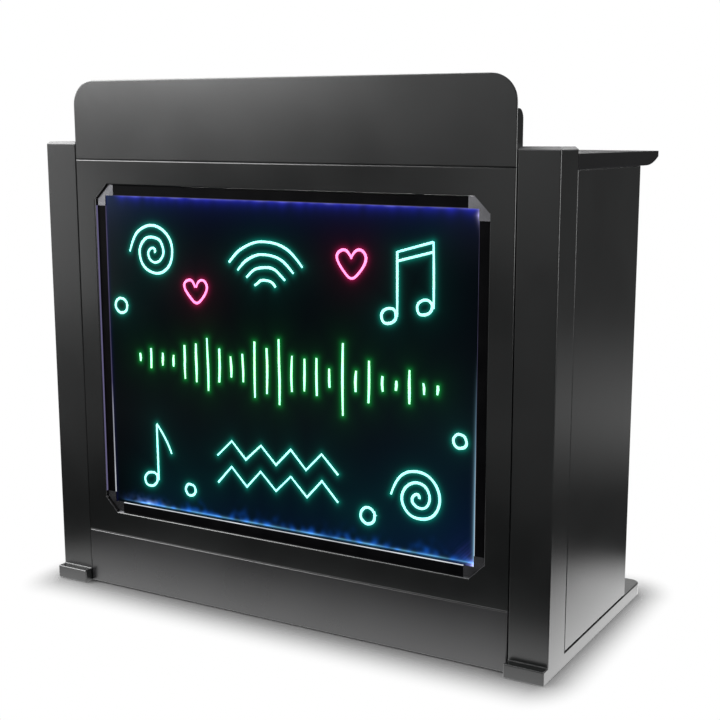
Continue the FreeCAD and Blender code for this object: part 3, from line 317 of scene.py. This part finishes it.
def grey_moulding():
    # Moulded ABS with a spark-eroded grain under a satin metallic lacquer, which mirrors light and dark
    # softly. The grain is drawn at 0.9 mm so that it shows.
    material, tree, shader = new_material("metallic_grey_abs", {"Metallic": 1.0})
    place = mottled(tree, shader, 30 * MM, ("#78787c", "#8a8a8e"), (0.18, 0.26))
    grained(tree, shader, place, 0.9 * MM, 0.04 * MM, 0.5)
    return material


def black_moulding():
    # Moulded ABS in black, with a fine grain that is drawn at 0.8 mm so that it shows.
    material, tree, shader = new_material("black_abs", {"IOR": 1.53})
    place = mottled(tree, shader, 20 * MM, ("#101011", "#19191a"), (0.42, 0.55))
    grained(tree, shader, place, 0.8 * MM, 0.06 * MM, 0.6)
    return material


def button_moulding():
    # Soft-touch caps in mid grey, dull, with a velvety grain drawn at 0.6 mm so that it shows.
    material, tree, shader = new_material("grey_soft_touch_plastic", {"IOR": 1.5})
    place = mottled(tree, shader, 8 * MM, ("#8b8b8e", "#9a9a9d"), (0.5, 0.62))
    grained(tree, shader, place, 0.6 * MM, 0.03 * MM, 0.4)
    return material


def matt_rubber():
    # Moulded rubber, matt and slightly dusty.
    material, tree, shader = new_material("black_rubber", {"IOR": 1.52})
    place = mottled(tree, shader, 12 * MM, ("#0c0c0c", "#181817"), (0.75, 0.9))
    grained(tree, shader, place, 1.0 * MM, 0.08 * MM, 0.6)
    return material


def foam_board():
    # Black paper-faced foam board: matt, with the long fibres of the paper.
    material, tree, shader = new_material("black_foam_board", {"IOR": 1.45})
    place = mottled(tree, shader, 120 * MM, ("#0b0b0c", "#141415"), (0.7, 0.85))
    grained(tree, shader, place, 2.0 * MM, 0.05 * MM, 0.5, (1, 1, 4))
    return material


def zinc_plate():
    # Bright zinc plate on steel, with the cloudy bluish spangle of passivation.
    material, tree, shader = new_material("zinc_plated_steel", {"Metallic": 1.0})
    place = mottled(tree, shader, 7 * MM, ("#8f949b", "#b4b8bd"), (0.26, 0.42))
    grained(tree, shader, place, 1.2 * MM, 0.03 * MM, 0.4)
    return material


def circuit_laminate():
    # Glass-fibre laminate under green solder mask, with the weave just showing.
    material, tree, shader = new_material("green_circuit_laminate", {"IOR": 1.55})
    place = mottled(tree, shader, 5 * MM, ("#0a3a1e", "#12512b"), (0.3, 0.42))
    grained(tree, shader, place, 0.8 * MM, 0.03 * MM, 0.4)
    return material


def lit_tape():
    # White led tape, lit blue by its own chips.
    values = {"Emission Color": linear("#3a5cff"), "Emission Strength": 3.0}
    material, tree, shader = new_material("lit_led_tape", values)
    mottled(tree, shader, 6 * MM, ("#b8c0d8", "#dfe4f2"), (0.4, 0.55))
    return material


EDGE_LIGHT = "edge_light"  # the sheet's own attribute, which carries its light
WIPE_MARKS = 70 * MM


def edge_lit_acrylic():
    # Clear cast acrylic over a black backing: dark and glossy, with the dull marks of a cloth, alight
    # where ink or its own edge lets the light out.
    values = {"Base Color": linear("#030508"), "Specular IOR Level": 0.05, "Emission Strength": 1.0}
    material, tree, shader = new_material("edge_lit_acrylic", values)
    place = add_node(tree, "ShaderNodeTexCoord")
    wipes = add_node(
        tree,
        "ShaderNodeTexNoise",
        {"Vector": place.outputs["Object"], "Scale": 1 / WIPE_MARKS, "Detail": 5},
    )
    smear = add_node(
        tree,
        "ShaderNodeMapRange",
        {"Value": wipes.outputs["Fac"], "To Min": 0.06, "To Max": 0.16},
    )
    light = add_node(tree, "ShaderNodeAttribute", attribute_name=EDGE_LIGHT)
    tree.links.new(smear.outputs["Result"], shader.inputs["Roughness"])
    tree.links.new(light.outputs["Color"], shader.inputs["Emission Color"])
    return material


def marker_ink(name, colours):
    # Fluorescent liquid chalk: an opaque, slightly streaky film that takes light out of the sheet behind
    # it, in one colour at half height and in the other towards the tapes at the foot and the head.
    material, tree, shader = new_material(name, {"IOR": 1.45, "Emission Strength": 1.0})
    place = mottled(tree, shader, 18 * MM, colours, (0.5, 0.7))
    height = add_node(tree, "ShaderNodeSeparateXYZ", {"Vector": place})
    level = add_node(
        tree,
        "ShaderNodeMapRange",
        {"Value": height.outputs["Z"], "From Min": sheet_low.z, "From Max": sheet_high.z},
    )
    ramp = add_node(tree, "ShaderNodeValToRGB", {"Fac": level.outputs["Result"]})
    ends = ramp.color_ramp.elements
    ends[0].color = ends[1].color = linear(colours[1])
    middle = ends.new(0.5)
    middle.color = linear(colours[0])
    tree.links.new(ramp.outputs["Color"], shader.inputs["Emission Color"])
    return material


finishes = {
    "black_steel": powder_coated_steel("black_powder_coat", COAT_ROUGHNESS, COAT_COLOURS),
    "black_laminate": black_laminate(),
    "black_rail": anodised_rail("black_anodised_rail", (DIE_LINES, 1, 1)),
    "grey_plastic": grey_moulding(),
    "black_board": foam_board(),
    "led_tape": lit_tape(),
    "rubber": matt_rubber(),
    "zinc_steel": zinc_plate(),
    "black_plastic": black_moulding(),
    "circuit_green": circuit_laminate(),
    "button_grey": button_moulding(),
    "dark_acrylic": edge_lit_acrylic(),
}
# The upright rails have their die lines upright, the kick panel is duller from shoes and mops, and the
# rivet nuts were coated with their posts.
upright_rail = anodised_rail("black_anodised_upright_rail", (1, 1, DIE_LINES))
scuffed_coat = powder_coated_steel("scuffed_black_powder_coat", SCUFFED_ROUGHNESS, SCUFFED_COLOURS)
special = {
    "board_left_rail": upright_rail,
    "board_right_rail": upright_rail,
    "kick_panel": scuffed_coat,
    "front_frame_panel": lit_window_coat(),
    "left_rivet_nuts": finishes["black_steel"],
    "right_rivet_nuts": finishes["black_steel"],
}
for part in frame["record"]["subparts"]:
    node = part["node"]
    nodes[node].data.materials.clear()
    nodes[node].data.materials.append(special.get(node, finishes[part["material_slot"]]))

# Marker drawings on the clear sheet: sound bars, notes, spirals, arcs, zigzags, rings and hearts
MARKER_WIDTH = 5.4 * MM
INK_THICKNESS = 0.3 * MM
LINE_WIDTHS = (0.85, 1.1)  # shares of the marker's width along a line
END_WIDTHS = (0.6, 0.9)  # and at its ends, where the marker is set down and lifted
hand = random.Random(7)


def shaky(points, reach=1.2 * MM):
    """Moves the points of a line a little, as a hand does."""
    return [(x + hand.uniform(-reach, reach), z + hand.uniform(-reach, reach)) for x, z in points]


def turned(x, z, radius, degrees):
    angle = math.radians(degrees)
    return x + radius * math.cos(angle), z + radius * math.sin(angle)


def sound_bars(x, z, pitch, count, tall):
    """Upright bars about a middle line, as a sound's outline is drawn: two beats under one swell."""
    bars = []
    for i in range(count):
        swell = math.cos(math.pi * (i / (count - 1) - 0.5)) ** 0.7
        beat = abs(math.sin(1.9 * i + 0.4) + 0.55 * math.sin(0.83 * i)) / 1.55
        half = tall * (0.1 + 0.9 * swell * beat)
        left = x + (i - (count - 1) / 2) * pitch
        bars.append(shaky([(left, z + share * half) for share in (-1, -1 / 3, 1 / 3, 1)]))
    return bars


def spiral(x, z, radius, turns):
    steps = int(turns * 12)
    return shaky([turned(x, z, radius * (i + 1) / steps, 30 * i) for i in range(steps)])


def arcs(x, z, radii, start, stop):
    return [
        shaky([turned(x, z, radius, start + (stop - start) * i / 8) for i in range(9)])
        for radius in radii
    ]


def zigzag(x, z, pitch, count, tall):
    return shaky([(x + i * pitch, z + (tall if i % 2 else -tall)) for i in range(count)])


def ring(x, z, radius):
    """A ring whose ends overlap a little."""
    return shaky([turned(x, z, radius, 36 * i) for i in range(12)])


def heart(x, z, reach):
    """A heart drawn in one go, from its dip round to its dip."""
    shares = (
        (0, 0.35), (0.2, 0.75), (0.6, 0.85), (0.95, 0.6), (0.95, 0.2), (0.6, -0.3), (0.02, -0.9),
        (-0.6, -0.3), (-0.95, 0.2), (-0.95, 0.6), (-0.6, 0.85), (-0.2, 0.75), (0, 0.35),
    )
    return shaky([(x + a * reach, z + b * reach) for a, b in shares])


def note_head(x, z, reach):
    """A round head, pressed flatter across its slope."""
    points = []
    for degrees in range(0, 450, 45):
        pressed = 1 - 0.3 * abs(math.sin(math.radians(degrees - 25)))
        points.append(turned(x, z, reach * pressed, degrees))
    return shaky(points)


def beamed_notes(x, z, reach):
    """Two notes under one double beam, which rises to the right."""
    wide = reach * 1.5
    tall = reach * 2.4
    strokes = []
    for side in (-1, 1):
        foot = x + side * wide / 2
        lift = side * reach * 0.2
        strokes.append(note_head(foot - reach * 0.35, z + lift, reach * 0.4))
        strokes.append(shaky([(foot, z + lift), (foot, z + lift + tall / 2), (foot, z + lift + tall)]))
    for drop in (0, reach * 0.35):
        left = (x - wide / 2, z - reach * 0.2 + tall - drop)
        right = (x + wide / 2, z + reach * 0.2 + tall - drop)
        strokes.append(shaky([left, right]))
    return strokes


def single_note(x, z, reach):
    """One note with a flag."""
    tall = reach * 2.5
    flag = [(x, z + tall), (x + reach * 0.5, z + tall * 0.78), (x + reach * 0.75, z + tall * 0.5)]
    return [
        note_head(x - reach * 0.4, z, reach * 0.45),
        shaky([(x, z), (x, z + tall / 2), (x, z + tall)]),
        shaky(flag),
    ]


def placed(name, mesh, material):
    """A new object at the origin, with its place in its mesh."""
    mesh.materials.append(material)
    piece = bpy.data.objects.new(name, mesh)
    scene.collection.objects.link(piece)
    return piece


def draw_with_marker(name, strokes, ink, pointed=False):
    """Lines as flat beads of ink on the face of the clear sheet, with the colour of their light."""
    material, halo = ink
    line = bpy.data.curves.new(name, "CURVE")
    line.dimensions = "3D"
    line.bevel_depth = MARKER_WIDTH / 2
    line.bevel_resolution = 2
    line.resolution_u = 5
    line.use_fill_caps = True
    for points in strokes:
        spline = line.splines.new("POLY" if pointed else "NURBS")
        last = len(points) - 1
        spline.points.add(last)
        for i, (spot, (x, z)) in enumerate(zip(spline.points, points)):
            spot.co = (x, 0, z, 1)
            spot.radius = hand.uniform(*(LINE_WIDTHS if 0 < i < last else END_WIDTHS))
        spline.order_u = 3
        spline.use_endpoint_u = True
    drawn = bpy.data.objects.new(name, line)
    mesh = bpy.data.meshes.new_from_object(drawn)
    bpy.data.objects.remove(drawn)
    bpy.data.curves.remove(line)
    flatten = Matrix.Diagonal((1, INK_THICKNESS / MARKER_WIDTH, 1, 1))
    mesh.transform(Matrix.Translation((0, y_face - INK_THICKNESS / 4, 0)) @ flatten)
    mesh.materials.clear()
    mesh.shade_smooth()
    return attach(placed(name, mesh, material), "booth"), halo


# Each ink, and the colour of the light that it spreads in the sheet round it
green = marker_ink("green_liquid_chalk", ("#a2f9b0", "#96f6e6")), "#19d85a"
cyan = marker_ink("cyan_liquid_chalk", ("#9af6ce", "#8eeef8")), "#12c4a8"
pink = marker_ink("pink_liquid_chalk", ("#ff6fae", "#ff86be")), "#d81a66"
# Places on the sheet in X and Z, and sizes. The hand draws them one after the other.
drawings = (
    draw_with_marker("marker_sound_bars", sound_bars(0, 0.515, 0.029, 25, 0.082), green),
    draw_with_marker(
        "marker_spirals",
        [spiral(-0.305, 0.735, 0.062, 2.6), spiral(0.31, 0.305, 0.058, 2.6)],
        cyan,
    ),
    draw_with_marker("marker_beamed_notes", beamed_notes(0.3, 0.655, 0.05), cyan),
    draw_with_marker("marker_single_note", single_note(-0.31, 0.255, 0.048), cyan),
    draw_with_marker("marker_arcs", arcs(-0.03, 0.665, (0.03, 0.055, 0.08, 0.105), 35, 145), cyan),
    draw_with_marker(
        "marker_zigzags",
        [zigzag(-0.155, 0.345, 0.036, 9, 0.018), zigzag(-0.155, 0.29, 0.036, 9, 0.018)],
        cyan,
        pointed=True,
    ),
    draw_with_marker("marker_hearts", [heart(-0.2, 0.66, 0.03), heart(0.165, 0.735, 0.034)], pink),
    draw_with_marker(
        "marker_rings",
        [
            ring(-0.395, 0.62, 0.016),
            ring(0.395, 0.425, 0.014),
            ring(-0.225, 0.245, 0.013),
            ring(0.2, 0.255, 0.017),
        ],
        cyan,
    ),
)


def fade(distance, reach):
    """From 1 at no distance down to nothing, a third of it left at the reach."""
    return math.exp(-max(distance, 0) / reach)


def patches(x, pitch, seed, z=0):
    """From 0 to 1 along an edge or over a face, for light that leaves it unevenly."""
    return min(max(0.5 + 0.9 * noise.noise((x / pitch, seed, z / pitch)), 0), 1)


def ramp_up(value, start, stop):
    """From 0 at the start, softly, to 1 at the stop."""
    share = min(max((value - start) / (stop - start), 0), 1)
    return share * share * (3 - 2 * share)


LINE_HEIGHT = 6.4 * MM  # over the lower rail, where the sheet's lit lower edge shows as a line
SPOT_FROM_LEFT = 85 * MM  # the brightest spot on that line


def edge_light(x, z):
    """Colours and amounts of light that leave the sheet near its edges, with a partly painted reflection
    in its upper left corner.
    """
    up = z_head - z
    down = z - z_foot
    left = x + x_side
    right = x_side - x
    corner = math.hypot(right, down)
    above = down - LINE_HEIGHT
    lifted = ramp_up(above, -2.5 * MM, 0)
    puff = (2 + 6 * patches(x, 60 * MM, 6)) * MM
    spot = math.hypot(0.25 * (left - SPOT_FROM_LEFT), above)
    started = ramp_up(left, 14 * MM, 50 * MM)
    begun = ramp_up(left, 10 * MM, 80 * MM)
    return (
        # Along the head: a patchy violet band with a pale rim, a haze below it and a grey corner, which
        # is partly the tape's haze and partly a painted reflection of the light at the upper left
        ("#2c30e0", started * (0.2 + 0.5 * patches(x, 20 * MM, 1)) * fade(up, 6 * MM)),
        ("#b0b4ff", 0.45 * started * patches(x, 26 * MM, 5) * fade(up, 1.2 * MM)),
        ("#16205a", 0.4 * fade(up, 30 * MM)),
        ("#2b3a4c", 0.4 * fade(math.hypot(left, up), 70 * MM)),
        # Along the foot: a broken pale line, blue puffs on it, its brightest spot and a haze
        ("#84d6fa", begun * (0.1 + 0.7 * patches(x, 45 * MM, 2)) * fade(abs(above), 1.2 * MM)),
        ("#1f78ff", begun * lifted * 0.9 * patches(x, 16 * MM, 3, z) ** 2 * fade(above, puff)),
        ("#7ca4ff", lifted * 2.2 * patches(x, 9 * MM, 7, z) * fade(spot, 3.6 * MM)),
        ("#06284c", 0.21 * ramp_up(left, 0, 150 * MM) * fade(down, 70 * MM)),
        # In the lower right corner: speckles round a white tip
        ("#6b6cff", 1.6 * patches(x - z, 7 * MM, 4) ** 2 * fade(corner, 12 * MM)),
        ("#ffffff", 1.2 * fade(corner, 4 * MM)),
        # Up the right side: a thin line low down and a spot near the head; up the left side, a trace
        ("#a8e0ff", ramp_up(-z, -0.6, -0.25) * fade(right, 1.8 * MM)),
        ("#c8c0ff", 2.0 * fade(right, 2.4 * MM) * fade(abs(up - 11 * MM), 6 * MM)),
        ("#2a2a80", 0.15 * fade(left, 2.5 * MM)),
        # A wide haze from the lower right corner
        ("#0a1e4a", 0.35 * fade(corner, 140 * MM)),
    )


FACE_PITCH = 3.6 * MM
# Extra lines across the face, in mm from each edge, where the light changes fast
EDGE_STEPS = (0.8, 2, 3, 4.2, 5.2, 6.4, 7.6, 9.2)
HALO_REACH = 150 * MM
# Amount and reach of an ink's light, close to it and further round it
HALOS = ((0.3, 3.5 * MM), (0.018, 30 * MM))


def clear_sheet():
    """The sheet with a face fine enough to carry its own light, with plain sides and a plain back."""
    wide = sheet_high.x - sheet_low.x
    tall = sheet_high.z - sheet_low.z
    bm = bmesh.new()
    bmesh.ops.create_grid(
        bm, x_segments=round(wide / FACE_PITCH), y_segments=round(tall / FACE_PITCH), size=0.5
    )
    middle = (sheet_low + sheet_high) / 2
    lay = Matrix.Translation((middle.x, y_face, middle.z)) @ Matrix.Rotation(math.pi / 2, 4, "X")
    bmesh.ops.transform(bm, matrix=lay @ Matrix.Diagonal((wide, tall, 1, 1)), verts=bm.verts)
    for step in EDGE_STEPS:
        inset = step * MM
        for spot, along in (
            ((0, 0, z_foot + inset), (0, 0, 1)),
            ((0, 0, z_head - inset), (0, 0, 1)),
            ((x_side - inset, 0, 0), (1, 0, 0)),
            ((inset - x_side, 0, 0), (1, 0, 0)),
        ):
            everything = [*bm.verts, *bm.edges, *bm.faces]
            bmesh.ops.bisect_plane(bm, geom=everything, dist=0.1 * MM, plane_co=spot, plane_no=along)
    inks = []
    for piece, colour in drawings:
        corners = [vertex.co for vertex in piece.data.vertices]
        faces = [face.vertices for face in piece.data.polygons]
        inks.append((BVHTree.FromPolygons(corners, faces), Vector(linear(colour)[:3])))
    layer = bm.verts.layers.float_color.new(EDGE_LIGHT)
    for vertex in bm.verts:
        light = Vector((0, 0, 0))
        for colour, amount in edge_light(vertex.co.x, vertex.co.z):
            light += Vector(linear(colour)[:3]) * amount
        for strokes, colour in inks:
            distance = strokes.find_nearest(vertex.co, HALO_REACH)[3]
            if distance is not None:
                light += colour * sum(amount * fade(distance, reach) for amount, reach in HALOS)
        vertex[layer] = (*light, 1)
    rim = [edge for edge in bm.edges if edge.is_boundary]
    sides = bmesh.ops.extrude_edge_only(bm, edges=rim)["geom"]
    moved = [item for item in sides if isinstance(item, bmesh.types.BMVert)]
    bmesh.ops.translate(bm, vec=(0, sheet_high.y - sheet_low.y, 0), verts=moved)
    bmesh.ops.holes_fill(bm, edges=[edge for edge in bm.edges if edge.is_boundary], sides=0)
    bmesh.ops.recalc_face_normals(bm, faces=bm.faces)
    mesh = bpy.data.meshes.new("clear_sheet")
    bm.to_mesh(mesh)
    bm.free()
    piece = placed("clear_sheet", mesh, finishes["dark_acrylic"])
    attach(piece, "booth")
    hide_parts("light_sheet")


clear_sheet()

# Stage: a pale floor with a partly painted soft shadow in a white room, soft light from the upper left,
# and cards that draw the folds
FOOTPRINT = (cad_high.x - 0.025, cad_high.y - 0.035, 0)
FLOOR_REACH = 4.0
FLOOR_GLOW = 2.6
FLOOR_LIGHT = (  # metres from the footprint, and how bright the floor is there to the booth's gloss
    (0.0, "#141414"),
    (0.025, "#ffffff"),
    (0.17, "#c4c4c4"),
    (0.3, "#282828"),
    (0.8, "#262626"),
    (1.7, "#747474"),
    (4.0, "#3c3c3c"),
)
# The floor's painted shadow: how far it reaches from the footprint, and how much sooner it ends at the
# sides
SHADOW_REACH = 0.15
SHADOW_DRAWN_IN = (1.4, 1, 1)  # at the sides it ends sooner than at the front and the back
ROOM_LIGHT = 0.11


def floor():
    """White to the eye outside a soft shadow that is partly painted: near the footprint the floor is dim
    grey under the real shade of the lights, and it clears to the white room with distance from the
    footprint.

    To the booth's own gloss it is bright close by and dim further off, as under a hood of light.
    """
    material, tree, shader = new_material(
        "pale_floor", {"Base Color": linear("#545454"), "Roughness": 0.8}
    )
    place = add_node(tree, "ShaderNodeTexCoord").outputs["Object"]
    mirrored = add_node(tree, "ShaderNodeVectorMath", {0: place}, operation="ABSOLUTE")
    past = add_node(
        tree, "ShaderNodeVectorMath", {0: mirrored.outputs[0], 1: FOOTPRINT}, operation="SUBTRACT"
    )
    outside = add_node(
        tree, "ShaderNodeVectorMath", {0: past.outputs[0], 1: (0, 0, 0)}, operation="MAXIMUM"
    )
    gap = add_node(tree, "ShaderNodeVectorMath", {0: outside.outputs[0]}, operation="LENGTH")
    reach = add_node(
        tree, "ShaderNodeMapRange", {"Value": gap.outputs["Value"], "From Max": FLOOR_REACH}
    )
    ramp = add_node(tree, "ShaderNodeValToRGB", {"Fac": reach.outputs["Result"]})
    stops = ramp.color_ramp.elements
    for i, (metres, colour) in enumerate(FLOOR_LIGHT):
        stop = stops[i] if i < len(stops) else stops.new(1)
        stop.position = metres / FLOOR_REACH
        stop.color = linear(colour)
    glow = add_node(tree, "ShaderNodeEmission", {"Color": ramp.outputs["Color"], "Strength": FLOOR_GLOW})
    tight = add_node(
        tree, "ShaderNodeVectorMath", {0: outside.outputs[0], 1: SHADOW_DRAWN_IN}, operation="MULTIPLY"
    )
    reached = add_node(tree, "ShaderNodeVectorMath", {0: tight.outputs[0]}, operation="LENGTH")
    away = add_node(
        tree,
        "ShaderNodeMapRange",
        {"Value": reached.outputs["Value"], "From Max": SHADOW_REACH},
        interpolation_type="SMOOTHSTEP",
    )
    # The painted shadow: dim grey floor close to the footprint, clearing to the white room further off
    clear = add_node(tree, "ShaderNodeBsdfTransparent")
    shown = add_node(
        tree,
        "ShaderNodeMixShader",
        {0: away.outputs["Result"], 1: shader.outputs["BSDF"], 2: clear.outputs["BSDF"]},
    )
    path = add_node(tree, "ShaderNodeLightPath")
    mix = add_node(
        tree,
        "ShaderNodeMixShader",
        {0: path.outputs["Is Camera Ray"], 1: glow.outputs["Emission"], 2: shown.outputs["Shader"]},
    )
    tree.links.new(mix.outputs["Shader"], tree.nodes["Material Output"].inputs["Surface"])
    bm = bmesh.new()
    bmesh.ops.create_circle(bm, cap_ends=True, segments=96, radius=FLOOR_REACH)
    mesh = bpy.data.meshes.new("floor")
    bm.to_mesh(mesh)
    bm.free()
    placed("floor", mesh, material)


def surroundings():
    """White to the eye, and dim to the booth, so that black paint stays black."""
    world = bpy.data.worlds.new("studio")
    world.use_nodes = True
    scene.world = world
    tree = world.node_tree
    path = add_node(tree, "ShaderNodeLightPath")
    dim, white = (
        add_node(tree, "ShaderNodeBackground", {"Color": linear("#ffffff"), "Strength": strength})
        for strength in (ROOM_LIGHT, 1.0)
    )
    mix = add_node(
        tree,
        "ShaderNodeMixShader",
        {0: path.outputs["Is Camera Ray"], 1: dim.outputs["Background"], 2: white.outputs["Background"]},
    )
    tree.links.new(mix.outputs["Shader"], tree.nodes["World Output"].inputs["Surface"])


def soft_light(name, place, aim, wide, tall, power):
    lamp = bpy.data.lights.new(name, "AREA")
    lamp.shape = "RECTANGLE"
    lamp.size = wide
    lamp.size_y = tall
    lamp.energy = power
    holder = bpy.data.objects.new(name, lamp)
    holder.location = place
    holder.rotation_mode = "QUATERNION"
    holder.rotation_quaternion = (Vector(aim) - Vector(place)).to_track_quat("-Z", "Y")
    holder.visible_camera = False
    scene.collection.objects.link(holder)


floor()
surroundings()
# Each light's place, the point it is aimed at, its width and height in metres and its power in watts
for light in (
    ("softbox_left", (-3.0, -2.6, 2.15), (-0.4, -0.2, 1.6), 2.6, 1.5, 215),
    ("low_card_left", (-3.3, -2.4, 0.5), (-0.5, -0.2, 0.6), 1.5, 0.8, 7),
    ("front_card", (-0.7, -3.6, 1.85), (-0.2, -0.3, 1.2), 2.4, 1.3, 9),
    ("low_card_front", (-0.9, -3.6, 0.75), (0.3, -0.25, 0.8), 0.8, 0.7, 1.2),
    ("softbox_high", (-2.2, -0.3, 3.2), (-0.3, -0.2, 0.8), 2.4, 2.6, 230),
    ("overhead", (0.3, 0.5, 3.2), (0, 0, 0), 2.6, 2.4, 120),
    ("rear_card", (-1.1, 3.7, 1.5), (0, 0, 0.95), 3.6, 2.0, 22),
    ("rear_card_left", (-2.1, 3.4, 1.5), (-0.2, 0, 0.95), 2.2, 2.0, 60),
    ("rear_low", (-1.9, 2.8, 0.8), (0.1, -0.2, 0.5), 2.0, 1.1, 60),
    ("rear_fill", (1.4, 2.6, 3.0), (0, 0, 0.6), 2.0, 1.6, 60),
    ("softbox_right", (2.9, -1.1, 1.2), (0.5, -0.2, 0.6), 2.0, 1.6, 80),
):
    soft_light(*light)

# Camera at the photograph's viewpoint, from a fit of the booth's own edges
VIEWPOINT = Vector((1.375632, -2.261939, 0.97917))
YAW, PITCH, ROLL = (math.radians(angle) for angle in (-28.789, -10.234, 0.27))
SENSOR_WIDTH, FOCAL_LENGTH = 36, 63.161
SIDEWAYS_SHIFT = -0.05556
camera = bpy.data.cameras.new("camera")
camera.sensor_width = SENSOR_WIDTH
camera.lens = FOCAL_LENGTH
camera.shift_x = SIDEWAYS_SHIFT
camera.clip_start = 0.05
viewer = bpy.data.objects.new("camera", camera)
scene.collection.objects.link(viewer)
scene.camera = viewer
ahead = Vector((math.sin(YAW) * math.cos(PITCH), math.cos(YAW) * math.cos(PITCH), math.sin(PITCH)))
across = Vector((math.cos(YAW), -math.sin(YAW), 0))
upward = across.cross(ahead)
right = across * math.cos(ROLL) + upward * math.sin(ROLL)
top = upward * math.cos(ROLL) - across * math.sin(ROLL)
viewer.matrix_world = Matrix.Translation(VIEWPOINT) @ Matrix((right, top, -ahead)).transposed().to_4x4()
scene.view_settings.view_transform = "Standard"
